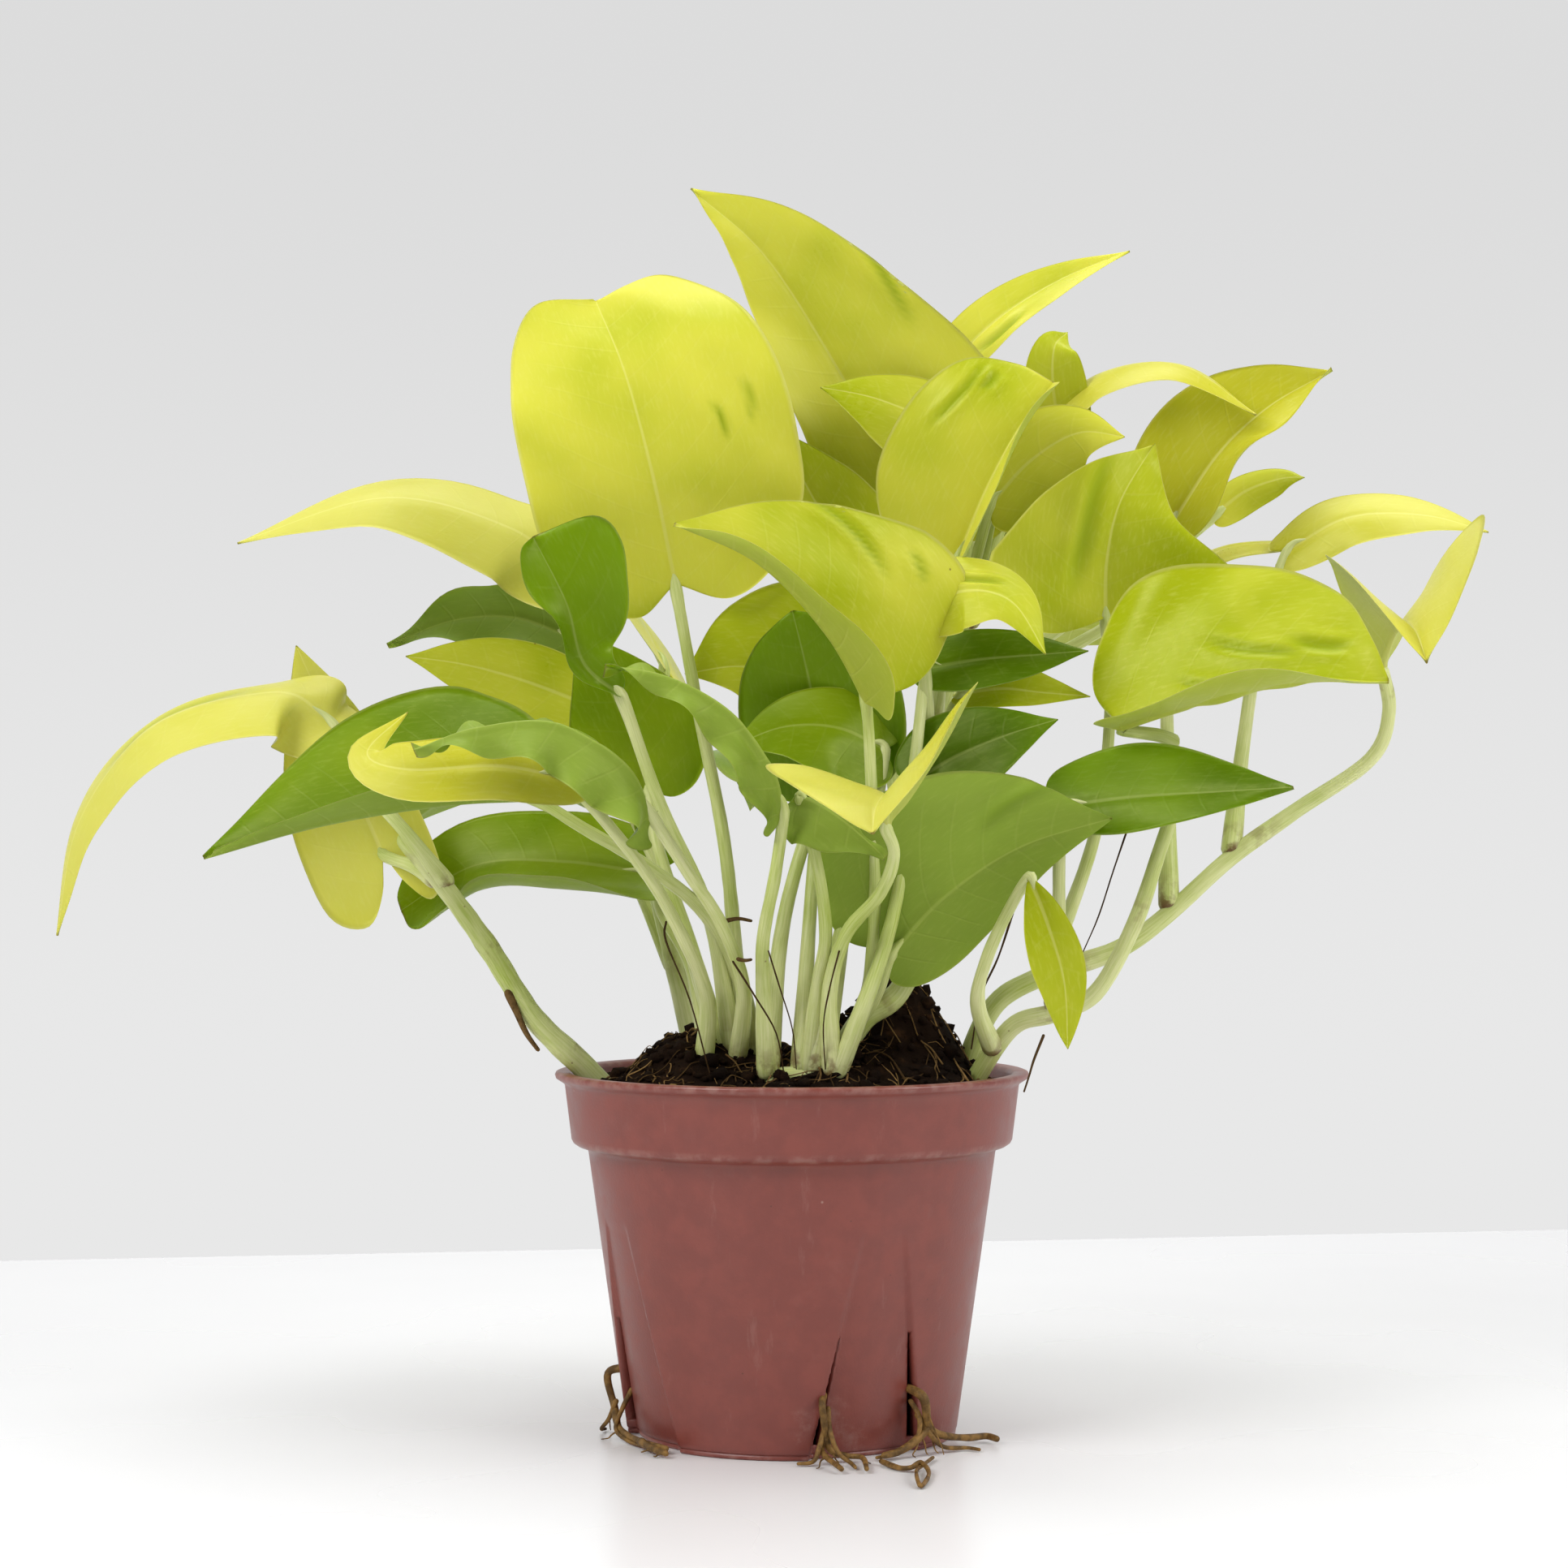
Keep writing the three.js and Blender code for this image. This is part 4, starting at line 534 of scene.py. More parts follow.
def cover(tree, base, mask, share, tint):
    """base with tint over it where the mask is, by no more than share."""
    return blend(tree, math_node(tree, "MULTIPLY", mask, share), base, tint)


def noise(tree, vector, scale, detail=4, roughness=0.55):
    """Cloudy values about 0.5 that change over the surface."""
    inputs = {"Vector": vector, "Scale": scale, "Detail": detail, "Roughness": roughness}
    return node(tree, "TexNoise", inputs).outputs[0]


def stretched(tree, vector, factors):
    """Coordinates stretched by a factor along each axis."""
    made = node(tree, "VectorMath", {0: vector, 1: factors}, operation="MULTIPLY")
    return made.outputs[0]


def object_space(tree):
    """Coordinates of the piece itself, in metres."""
    return node(tree, "TexCoord").outputs["Object"]


def group(name, inputs, outputs, build):
    """A shader node group, built once. build(tree, source, target) fills it."""
    tree = bpy.data.node_groups.get(name)
    if tree:
        return tree
    tree = bpy.data.node_groups.new(name, "ShaderNodeTree")
    for label, (kind, default) in inputs.items():
        socket = tree.interface.new_socket(label, in_out="INPUT", socket_type="NodeSocket" + kind)
        socket.default_value = (*default, 1) if kind == "Color" else default
    for label, kind in outputs.items():
        tree.interface.new_socket(label, in_out="OUTPUT", socket_type="NodeSocket" + kind)
    source = tree.nodes.new("NodeGroupInput")
    target = tree.nodes.new("NodeGroupOutput")
    build(tree, source.outputs, target.inputs)
    return tree


def use(tree, made_group, inputs):
    """A node group placed in a material or another group, with its own values."""
    return node(tree, "Group", inputs, node_tree=made_group)


def material(name, build, **constants):
    """A Principled material. build(tree, shader) joins what varies; constants are plain."""
    made = bpy.data.materials.get(name)
    if made:
        return made
    made = bpy.data.materials.new(name)
    made.use_nodes = True
    shader = made.node_tree.nodes["Principled BSDF"]
    for key, value in constants.items():
        shader.inputs[key.replace("_", " ")].default_value = value
    build(made.node_tree, shader)
    return made


def join(tree, source, shader, socket):
    """Feeds one socket of the shader."""
    tree.links.new(source, shader.inputs[socket])


def relief(tree, shader, height, strength, distance):
    """Fine relief of the surface from a height."""
    bump = node(tree, "Bump", {"Strength": strength, "Distance": distance, "Height": height})
    join(tree, bump.outputs[0], shader, "Normal")


# ---------------------------------------------------------------- shared effects


def speck_group():
    """Sparse round dots, as a mask."""
    dot_core, dot_rim = 0.05, 0.12

    def build(tree, source, target):
        cells = node(tree, "TexVoronoi", {"Vector": source["Vector"], "Scale": source["Scale"]})
        dot = ramp(tree, cells.outputs["Distance"], dot_core, dot_rim, 1.0, 0.0)
        keep = math_node(tree, "GREATER_THAN", cells.outputs["Color"], source["Rarity"])
        tree.links.new(math_node(tree, "MULTIPLY", dot, keep), target["Mask"])
    return group("Specks", {"Vector": ("Vector", (0, 0, 0)), "Scale": ("Float", 200.0),
                            "Rarity": ("Float", 0.8)}, {"Mask": "Float"}, build)


# Side veins climb by VEIN_CLIMB centimetres at one centimetre from the rib, along a curve of
# this power, and fade between two shares of the way across. They show where the sine of their
# beat is under VEIN_WIDTH.
VEIN_CLIMB, VEIN_POWER = 0.55, 1.25
VEIN_WIDTH = 0.2
VEIN_FADE = (0.55, 0.95)
# Patches of a blade's two tones per metre, and the noise at which it is all deep and all pale.
PATCH_SCALE, PATCH_EDGES = 26.0, (0.24, 0.76)
# Half width of the pale rib line in centimetres, at the notch and at the tip.
RIB_LINE = (0.06, 0.015)


def blade_group():
    """Colour, roughness and height of a leaf's skin from its own coordinates.

    The point attribute leaf holds the share along the rib, the share across, the blister
    mask and the leaf's own shift of tone. The UV map holds centimetres across and along.
    """
    def build(tree, source, target):
        flat = node(tree, "UVMap", uv_map="skin").outputs[0]
        leaf = node(tree, "Attribute", attribute_name="leaf")
        place = node(tree, "SeparateColor", {0: leaf.outputs["Color"]})
        along, across, blister = place.outputs[0], place.outputs[1], place.outputs[2]
        tone = leaf.outputs["Alpha"]
        cm = node(tree, "SeparateXYZ", {0: flat})
        side = math_node(tree, "ABSOLUTE", cm.outputs[0])
        space = object_space(tree)

        cloud = noise(tree, space, PATCH_SCALE, 2)
        patch = ramp(tree, math_node(tree, "ADD", cloud, tone), *PATCH_EDGES)
        skin = blend(tree, patch, source["Deep"], source["Pale"])

        bowed = math_node(tree, "POWER", side, VEIN_POWER)
        climb = math_node(tree, "MULTIPLY", bowed, VEIN_CLIMB)
        slant = math_node(tree, "SUBTRACT", cm.outputs[1], climb)
        wave = math_node(tree, "MULTIPLY", slant, source["Veins per cm"])
        beat = math_node(tree, "ABSOLUTE", math_node(tree, "SINE", wave))
        vein = ramp(tree, beat, 0.0, VEIN_WIDTH, 1.0, 0.0)
        vein = math_node(tree, "MULTIPLY", vein, ramp(tree, across, *VEIN_FADE, 1.0, 0.0))
        streak = noise(tree, stretched(tree, flat, (5.0, 1.2, 1.0)), 2.4, 3)
        skin = blend(tree, ramp(tree, streak, 0.45, 0.8, 0.0, 0.22), skin, source["Streak"])
        skin = cover(tree, skin, vein, source["Vein"], source["Rib"])
        skin = cover(tree, skin, blister, 0.8, source["Blister"])

        line = ramp(tree, along, -0.1, 1.0, *RIB_LINE)
        rib = ramp(tree, math_node(tree, "DIVIDE", side, line), 0.4, 1.3, 1.0, 0.0)
        skin = cover(tree, skin, rib, 0.34, source["Rib"])
        margin = ramp(tree, across, 0.965, 0.995, 0.0, 0.4)
        skin = blend(tree, margin, skin, source["Rib"])
        specks = use(tree, speck_group(), {"Vector": space, "Scale": 260.0, "Rarity": 0.965})
        brown = math_node(tree, "MAXIMUM", specks.outputs[0], ramp(tree, along, 0.985, 1.0))
        skin = cover(tree, skin, brown, 0.8, source["Scar"])
        tree.links.new(skin, target["Color"])

        grain = noise(tree, space, 900.0, 2)
        gloss = math_node(tree, "ADD", ramp(tree, cloud, 0.3, 0.7, -0.05, 0.06),
                          ramp(tree, grain, 0.3, 0.7, -0.03, 0.04))
        tree.links.new(math_node(tree, "ADD", gloss, source["Roughness"]), target["Roughness"])

        height = math_node(tree, "MULTIPLY", vein, source["Vein relief"])
        for part, share in ((grain, 0.03), (streak, 0.14)):
            height = math_node(tree, "ADD", height, math_node(tree, "MULTIPLY", part, share))
        tree.links.new(height, target["Height"])

    grey = ("Color", (0.5, 0.5, 0.5))
    inputs = {key: grey for key in ("Pale", "Deep", "Streak", "Rib", "Blister", "Scar")}
    inputs |= {"Vein": ("Float", 0.2), "Veins per cm": ("Float", 3.7),
               "Vein relief": ("Float", -0.5), "Roughness": ("Float", 0.38)}
    outputs = {"Color": "Color", "Roughness": "Float", "Height": "Float"}
    return group("Blade skin", inputs, outputs, build)


# ---------------------------------------------------------------- materials

# The colour that the ribs and veins of blades tend towards.
RIB_PALE = "F1EFA8"


def mixed(a, b, t):
    """A colour between a at t = 0 and b at t = 1."""
    return tuple(p + (q - p) * t for p, q in zip(a, b))


def blade_skin(name, colours, values, strength, distance, specular):
    """One side of a blade, from the shared skin with its own colours and values."""
    def build(tree, shader):
        skin = use(tree, blade_group(), {**colours, **values})
        join(tree, skin.outputs["Color"], shader, "Base Color")
        join(tree, skin.outputs["Roughness"], shader, "Roughness")
        relief(tree, shader, skin.outputs["Height"], strength, distance)
    return material(name, build, Specular_IOR_Level=specular, Subsurface_Weight=0.12,
                    Subsurface_Radius=(0.6, 1.0, 0.15), Subsurface_Scale=0.002,
                    Specular_Tint=(1, 1, 0.45, 1))


def blade_materials(tone):
    """The upper and the lower skin of the leaves of one tone."""
    plant = settings("plant")
    pale = tuple(getattr(plant, tone))
    deeper = {"yellow": plant.yellow_deep, "lime": plant.lime_deep, "green": plant.green_deep,
              "deep": plant.shadow}[tone]
    bright = mixed(pale, shade(RIB_PALE), 0.55 if tone in ("yellow", "lime") else 0.3)
    base = mixed(pale, plant.under, 0.62)
    top_colours = {
        "Pale": pale, "Deep": deeper, "Streak": mixed(pale, bright, 0.5), "Rib": bright,
        "Blister": mixed(deeper, plant.deep, 0.45), "Scar": plant.scar}
    under_colours = {
        "Pale": base, "Deep": mixed(base, deeper, 0.3), "Streak": mixed(base, bright, 0.4),
        "Rib": mixed(base, bright, 0.7), "Blister": mixed(base, deeper, 0.6),
        "Scar": plant.scar}
    top_values = {"Vein": 0.05, "Vein relief": -0.14, "Roughness": 0.34}
    under_values = {"Vein": 0.12, "Vein relief": 0.3, "Roughness": 0.48}
    return [blade_skin(f"{tone} leaf top", top_colours, top_values, 0.3, 0.0005, 0.24),
            blade_skin(f"{tone} leaf underside", under_colours, under_values, 0.4, 0.0006,
                       0.16)]


def stalk_material():
    """Pale ribbed stalks, greener along their streaks, with brown scars at the joints."""
    plant = settings("plant")

    def build(tree, shader):
        flat = node(tree, "UVMap", uv_map="skin").outputs[0]
        leaf = node(tree, "Attribute", attribute_name="leaf")
        joint = node(tree, "SeparateColor", {0: leaf.outputs["Color"]}).outputs[2]
        space = object_space(tree)
        streak = noise(tree, stretched(tree, flat, (6.0, 0.35, 1.0)), 3.0, 4)
        cloud = noise(tree, space, 25.0, 3)
        green = math_node(tree, "ADD", ramp(tree, streak, 0.35, 0.75, 0.0, 0.45),
                          ramp(tree, cloud, 0.35, 0.65, 0.0, 0.6))
        tint = blend(tree, green, plant.stalk_pale, plant.stalk_green)
        specks = use(tree, speck_group(), {"Vector": space, "Scale": 330.0, "Rarity": 0.86})
        torn = ramp(tree, noise(tree, space, 240.0, 5), 0.42, 0.6)
        worn = math_node(tree, "MULTIPLY", joint, torn)
        spotted = math_node(tree, "MULTIPLY", specks.outputs[0], 0.6)
        brown = math_node(tree, "MAXIMUM", spotted, worn)
        tint = blend(tree, brown, tint, plant.scar)
        join(tree, tint, shader, "Base Color")
        join(tree, ramp(tree, streak, 0.3, 0.7, 0.36, 0.5), shader, "Roughness")
        relief(tree, shader, streak, 0.2, 0.0004)
    return material("leaf stalk", build, Specular_IOR_Level=0.35, Subsurface_Weight=0.15,
                    Subsurface_Radius=(0.9, 1.0, 0.4), Subsurface_Scale=0.002)


def pot_material():
    """Matte moulded plastic: mottled, scuffed, with dried water marks near the foot."""
    pot = settings("pot")

    def build(tree, shader):
        space = object_space(tree)
        height = node(tree, "SeparateXYZ", {0: space}).outputs[2]
        mottle = noise(tree, space, 150.0, 6)
        tint = blend(tree, ramp(tree, mottle, 0.35, 0.7), pot.plastic_dark, pot.plastic)
        upright = stretched(tree, space, (1.0, 1.0, 0.22))
        scuff = ramp(tree, noise(tree, upright, 190.0, 8, 0.7), 0.6, 0.72)
        marks = ramp(tree, noise(tree, space, 70.0, 8, 0.72), 0.56, 0.76)
        low = ramp(tree, height, 0.0, 0.03, 0.3, 0.05)
        dust = math_node(tree, "MAXIMUM", math_node(tree, "MULTIPLY", scuff, 0.1),
                         math_node(tree, "MULTIPLY", marks, low))
        tint = blend(tree, dust, tint, pot.dust)
        edge = node(tree, "Attribute", attribute_name="edge").outputs["Fac"]
        rubbed = ramp(tree, noise(tree, space, 300.0, 4), 0.4, 0.65, 0.0, 0.25)
        tint = cover(tree, tint, edge, rubbed, pot.dust)
        chips = use(tree, speck_group(), {"Vector": space, "Scale": 260.0, "Rarity": 0.9})
        tint = cover(tree, tint, chips.outputs[0], 0.45, pot.dust)
        specks = use(tree, speck_group(), {"Vector": space, "Scale": 420.0, "Rarity": 0.88})
        tint = cover(tree, tint, specks.outputs[0], 0.5, (0.03, 0.015, 0.01))
        join(tree, tint, shader, "Base Color")
        join(tree, ramp(tree, mottle, 0.3, 0.75, 0.34, 0.45), shader, "Roughness")
        grain = math_node(tree, "ADD", noise(tree, space, 1500.0, 3),
                          math_node(tree, "MULTIPLY", mottle, 0.8))
        relief(tree, shader, grain, 0.12, 0.0004)
    return material("moulded plastic", build, Specular_IOR_Level=0.5)


def peat_material():
    """Dark moist peat with drier clumps."""
    ground = settings("ground")

    def build(tree, shader):
        space = object_space(tree)
        clump = noise(tree, space, 180.0, 8, 0.65)
        tint = blend(tree, ramp(tree, clump, 0.5, 0.75), ground.peat, ground.peat_dry)
        dark = ramp(tree, noise(tree, space, 60.0, 4), 0.35, 0.6)
        tint = blend(tree, dark, mixed(ground.peat, (0, 0, 0), 0.55), tint)
        join(tree, tint, shader, "Base Color")
        relief(tree, shader, noise(tree, space, 900.0, 8, 0.7), 0.9, 0.0012)
    return material("crumbly peat", build, Roughness=0.95, Specular_IOR_Level=0.1)


def fibre_material():
    """Straw, bark and root hairs, tan to almost black from strand to strand."""
    ground = settings("ground")

    def build(tree, shader):
        tone = node(tree, "Attribute", attribute_name="leaf").outputs["Alpha"]
        space = object_space(tree)
        tint = blend(tree, tone, mixed(ground.peat, ground.fibre, 0.15), ground.fibre)
        band = ramp(tree, noise(tree, space, 600.0, 4), 0.4, 0.7, 0.0, 0.5)
        tint = blend(tree, band, tint, ground.peat)
        join(tree, tint, shader, "Base Color")
        relief(tree, shader, noise(tree, space, 2500.0, 4), 0.5, 0.0003)
    return material("straw fibre", build, Roughness=0.8, Specular_IOR_Level=0.05)


def root_material():
    """Tan root bark with darker bands."""
    ground = settings("ground")

    def build(tree, shader):
        space = object_space(tree)
        bands = noise(tree, space, 350.0, 6, 0.6)
        tint = blend(tree, ramp(tree, bands, 0.35, 0.65), mixed(ground.root, ground.peat, 0.7),
                     ground.root)
        join(tree, tint, shader, "Base Color")
        relief(tree, shader, bands, 0.4, 0.0004)
    return material("root bark", build, Roughness=0.6, Specular_IOR_Level=0.25)


# ---------------------------------------------------------------- mesh helpers


def smooth_path(points, t):
    """Places and unit directions at shares t of a smooth curve through points."""
    p = np.asarray(points, float)
    spans = len(p) - 1
    p = np.vstack([2 * p[0] - p[1], p, 2 * p[-1] - p[-2]])
    x = np.clip(t, 0, 1) * spans
    i = np.minimum(x.astype(int), spans - 1)
    f = (x - i)[:, None]
    a, b, c, d = p[i], p[i + 1], p[i + 2], p[i + 3]
    bow = 2 * a - 5 * b + 4 * c - d
    twist = 3 * b - a - 3 * c + d
    place = 0.5 * (2 * b + (c - a) * f + bow * f ** 2 + twist * f ** 3)
    slope = 0.5 * ((c - a) + 2 * bow * f + 3 * twist * f ** 2)
    return place, slope / np.linalg.norm(slope, axis=1, keepdims=True)


def ripple_field(seed, count=5):
    """A smooth random function of two numbers, in -1..1, from a few sine waves."""
    rng = random.Random(seed)
    waves = [(rng.uniform(0.4, 2.6), rng.uniform(0.4, 2.6), rng.uniform(0, ANY_TURN))
             for _ in range(count)]

    def field(a, b):
        return sum(np.sin(p * a + q * b + s) for p, q, s in waves) / count
    return field


def piece(name, vertices, faces, materials, nodes, skins=None, flat=None, leaf=None):
    """A mesh object that rides on the plant and stands for the named solids.

    skins gives each face its material, flat each point's place in the UV map in centimetres,
    and leaf the four values of its point attribute.
    """
    mesh = bpy.data.meshes.new(name)
    mesh.from_pydata([tuple(v) for v in vertices], [], faces)
    for each in materials:
        mesh.materials.append(each)
    mesh.polygons.foreach_set("use_smooth", [True] * len(mesh.polygons))
    if skins is not None:
        mesh.polygons.foreach_set("material_index", skins)
    corners = np.empty(len(mesh.loops), dtype=np.int32)
    mesh.loops.foreach_get("vertex_index", corners)
    if flat is not None:
        layer = mesh.uv_layers.new(name="skin")
        layer.data.foreach_set("uv", np.asarray(flat, np.float32)[corners].ravel())
    if leaf is not None:
        values = mesh.attributes.new("leaf", "FLOAT_COLOR", "POINT")
        values.data.foreach_set("color", np.asarray(leaf, np.float32).ravel())
    made = bpy.data.objects.new(name, mesh)
    bpy.context.scene.collection.objects.link(made)
    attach(made, BODY)
    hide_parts(*nodes)
    return made


def grid_faces(rows, columns, first=0, wrap=False, flip=False):
    """Quads between the points of a grid whose rows lie one after another."""
    faces = []
    last = columns if wrap else columns - 1
    for i in range(rows - 1):
        for j in range(last):
            a = first + i * columns + j
            b = first + i * columns + (j + 1) % columns
            quad = (a, b, b + columns, a + columns)
            faces.append(quad[::-1] if flip else quad)
    return faces


# ---------------------------------------------------------------- blades

BLADE_ROWS = 44
HALF_COLUMNS = 14
# A blade with blister scars has this many times the rows and columns.
FINE_TIMES = 2
RIB_SAMPLES = 60
# Where the first row lies, as a share of the outline, and how much of it the rows take up.
FIRST_ROW, ROWS_SPAN = 0.012, 0.982
# Columns crowd towards the rib by this power.
CROWDING = 1.15
# Below this curl, in radians, a blade counts as flat.
NO_CURL = 1e-4
# The two margins of a wavy blade are out of step by this share of a wave each way.
WAVE_STAGGER = 0.35
# Unevenness of a blade as a share of its half width, and how quickly it changes along the
# rib and across.
SWAY, SWAY_WAVES = 0.035, (0.11, 0.14)
# Millimetres by which the skin swells between veins, and by which it is sunk along the rib.
QUILT, GROOVE = 0.05, 0.35
# How far from the rib, in millimetres, the groove above it and the keel below it fall off.
GROOVE_WIDE, KEEL_WIDE = 1.3, 1.1
# A blister scar bows sideways by a share of its length, over this many radians.
BLISTER_BOW, BLISTER_BOW_TURN = 0.12, 2.2
# Millimetres by which a scar is sunk and the lip on each side of it raised, and how far out
# the lips stand in widths of the scar.
BLISTER_SUNK, BLISTER_LIP, BLISTER_LIP_OUT = 0.7, 0.5, 1.7
# How much of its thickness a blade loses at the margin, by the power of the share across.
MARGIN_THINNING, MARGIN_POWER = 0.88, 6
# A blade without a shift of its own is paler or deeper by no more than this.
OWN_SHIFT = 0.08
# Where lobes reach past the rib's end, the share along is counted to this far past them, so
# that they get no brown tip.
PAST_LOBES = 0.05


def leaf_up(leaf, ahead):
    """Unit directions out of a leaf's upper side, square to its rib."""
    face = np.asarray(leaf["face"], float)
    up = face - ahead * (ahead @ face)[:, None]
    return up / np.linalg.norm(up, axis=1, keepdims=True)


def blade_grid(leaf, row_count, half_columns):
    """Share along the rib, share across, share of the width and side of every point."""
    outline = [(0, 0, 0), *OUTLINES[leaf.get("shape", "heart")], (1, 0, 1)]
    rows = smooth_path(outline, FIRST_ROW + ROWS_SPAN * np.linspace(0, 1, row_count))[0]
    edge, wide, middle = (rows[:, k][:, None] for k in range(3))
    v = np.linspace(-1, 1, 2 * half_columns + 1)
    v = np.sign(v) * np.abs(v) ** CROWDING
    reach = np.abs(v)[None, :].repeat(row_count, 0)
    side_of = np.where(v < 0, -1.0, 1.0)[None, :].repeat(row_count, 0)
    along = middle + (edge - middle) * reach
    return along.ravel(), reach.ravel(), wide.repeat(len(v), 1).ravel(), side_of.ravel()


def blister_relief(leaf, metric, across, rib_length, half):
    """Mask and height of a blade's scars, from millimetres along and across it."""
    mask, swell = np.zeros_like(metric), np.zeros_like(metric)
    for at, off_rib, size, width, turn in leaf.get("blisters", ()):
        x, y = metric - at * rib_length, across - off_rib * half
        c, s = math.cos(math.radians(turn)), math.sin(math.radians(turn))
        run, off = x * c + y * s, y * c - x * s
        off = off - BLISTER_BOW * size * np.cos(run / size * BLISTER_BOW_TURN)
        ends = (run / (0.5 * size)) ** 4
        dip = np.exp(-ends - (off / width) ** 2)
        lips = np.exp(-ends - ((np.abs(off) - BLISTER_LIP_OUT * width) / width) ** 2)
        mask = np.maximum(mask, dip)
        swell = swell - BLISTER_SUNK * dip + BLISTER_LIP * lips
    return mask, swell


def sheet_faces(row_count, columns):
    """Faces of the upper and lower sheet and the rim between, with each one's material."""
    count = row_count * columns
    upper = grid_faces(row_count, columns, flip=True)
    lower = grid_faces(row_count, columns, first=count)
    rim = [i * columns for i in range(row_count)]
    rim += [(row_count - 1) * columns + j for j in range(1, columns)]
    rim += [i * columns + columns - 1 for i in range(row_count - 2, -1, -1)]
    rim += list(range(columns - 2, 0, -1))
    walls = [(a, b, b + count, a + count) for a, b in zip(rim, rim[1:] + rim[:1])]
    return upper + lower + walls, [0] * len(upper) + [1] * len(lower) + [0] * len(walls)


def blade_sheets(name, leaf):
    """Points, faces, skins and skin data of one blade, upper and lower sheet."""
    plant = settings("plant")
    fine = FINE_TIMES if leaf.get("blisters") else 1
    row_count, half_columns = fine * BLADE_ROWS, fine * HALF_COLUMNS
    samples = smooth_path(leaf["rib"], np.linspace(0, 1, RIB_SAMPLES))[0]
    rib_length = np.linalg.norm(np.diff(samples, axis=0), axis=1).sum()
    along, reach, wide, side_of = blade_grid(leaf, row_count, half_columns)

    rib_at, ahead = smooth_path(leaf["rib"], along)
    beyond = along - np.clip(along, 0, 1)
    rib_at = rib_at + ahead * (beyond * rib_length)[:, None]
    up = leaf_up(leaf, ahead)
    side = np.cross(ahead, up)

    half, fold, curl = (np.where(side_of < 0, leaf["left"][k], leaf["right"][k]).astype(float)
                        for k in range(3))
    fold, curl = np.radians(fold), np.radians(curl)
    curl = np.where(np.abs(curl) < NO_CURL, NO_CURL, curl)
    distance = half * wide * reach
    bend = curl / half
    angle = fold + bend * distance
    out = side_of * (np.sin(angle) - np.sin(fold)) / bend
    lift = (np.cos(fold) - np.cos(angle)) / bend
    tilt = angle * np.clip(reach * 8, 0, 1)
    normal = up * np.cos(tilt)[:, None] - side * (side_of * np.sin(tilt))[:, None]

    metric, across = along * rib_length, side_of * distance
    height, count, phase = leaf.get("wave", (0, 0, 0))
    turns = count * along + phase + WAVE_STAGGER * side_of
    ripple = height * reach ** 2 * np.sin(2 * np.pi * turns)
    field = ripple_field(name)
    sway = SWAY * half * reach * field(metric * SWAY_WAVES[0], across * SWAY_WAVES[1])
    climb = VEIN_CLIMB * 10 * (distance / 10) ** VEIN_POWER
    beat = np.abs(np.sin(np.pi * (metric - climb) / (plant.vein_gap / MM)))
    quilt = QUILT * beat * np.clip(reach * 4, 0, 1) * (1 - reach)
    blister, swell = blister_relief(leaf, metric, across, rib_length, half)
    centre = (rib_at + side * out[:, None] + up * lift[:, None]
              + normal * (ripple + sway + quilt + swell)[:, None])

    thick = plant.blade / MM / 2 * (1 - MARGIN_THINNING * reach ** MARGIN_POWER)
    groove = GROOVE * np.exp(-(distance / GROOVE_WIDE) ** 2) * np.clip(1.15 - along, 0, 1)
    keel = plant.rib / MM * np.exp(-(distance / KEEL_WIDE) ** 2) * np.clip(1.1 - along, 0, 1)
    top = centre + normal * (thick - groove)[:, None]
    bottom = centre - normal * (thick + keel + groove * 0.5)[:, None]

    faces, skins = sheet_faces(row_count, 2 * half_columns + 1)
    own = random.Random(name + "tone").uniform(-OWN_SHIFT, OWN_SHIFT)
    furthest = along.max()
    share = along / (furthest + PAST_LOBES if furthest > 1 else 1.0)
    tone = np.full(len(along), leaf.get("shift", own))
    data = np.column_stack([share, reach, blister, tone])
    flat = np.column_stack([across, metric]) / 10
    points = np.vstack([top, bottom]) * MM
    return points, faces, skins, np.vstack([flat, flat]), np.vstack([data, data])


def make_blade(name, leaf):
    """The piece of one leaf blade."""
    points, faces, skins, flat, data = blade_sheets(name, leaf)
    return piece(name + "_blade", points, faces, blade_materials(leaf["tone"]),
                 [name], skins, flat, data)


# ---------------------------------------------------------------- vines and stalks

# A vine has two joints in each of its waves, and all of them lie this share of its length
# nearer to its foot than the waves' own ends and middles.
VINE_WAVES, JOINT_SHIFT = 1.5, 0.06
# How brown a vine's joints are, and the share of a stalk that is scarred at its foot.
JOINT_SCAR, FOOT_SCAR_LONG = 0.45, 0.05
# How much a vine swells at a joint and a stalk at its sheathed foot and under its blade, as
# shares of its radius, with the share of the stalk's length that each takes up.
JOINT_SWELL = 0.07
SHEATH_SWELL, SHEATH_LONG = 0.45, 0.16
KNEE_SWELL, KNEE_LONG = 0.15, 0.05
# The share of its radius that a stalk loses where it runs out along its blade.
STALK_MELT = 0.75
# How many millimetres under the blade a stalk's last two points lie, and at which shares of
# the rib.
UNDER_BLADE, ALONG_BLADE = (0.8, 0.5), (0.0, 0.12)
# Depth of the channel along a stalk, as a share of its radius.
CHANNEL = 0.2

# Extra rings that round off the ends of a strand, as shares of its length.
END_STEPS = (0.003, 0.008, 0.016, 0.03)
# A direction that no strand starts along, from which its first ring is turned.
ODD_WAY = (0.31, 0.2, 0.93)


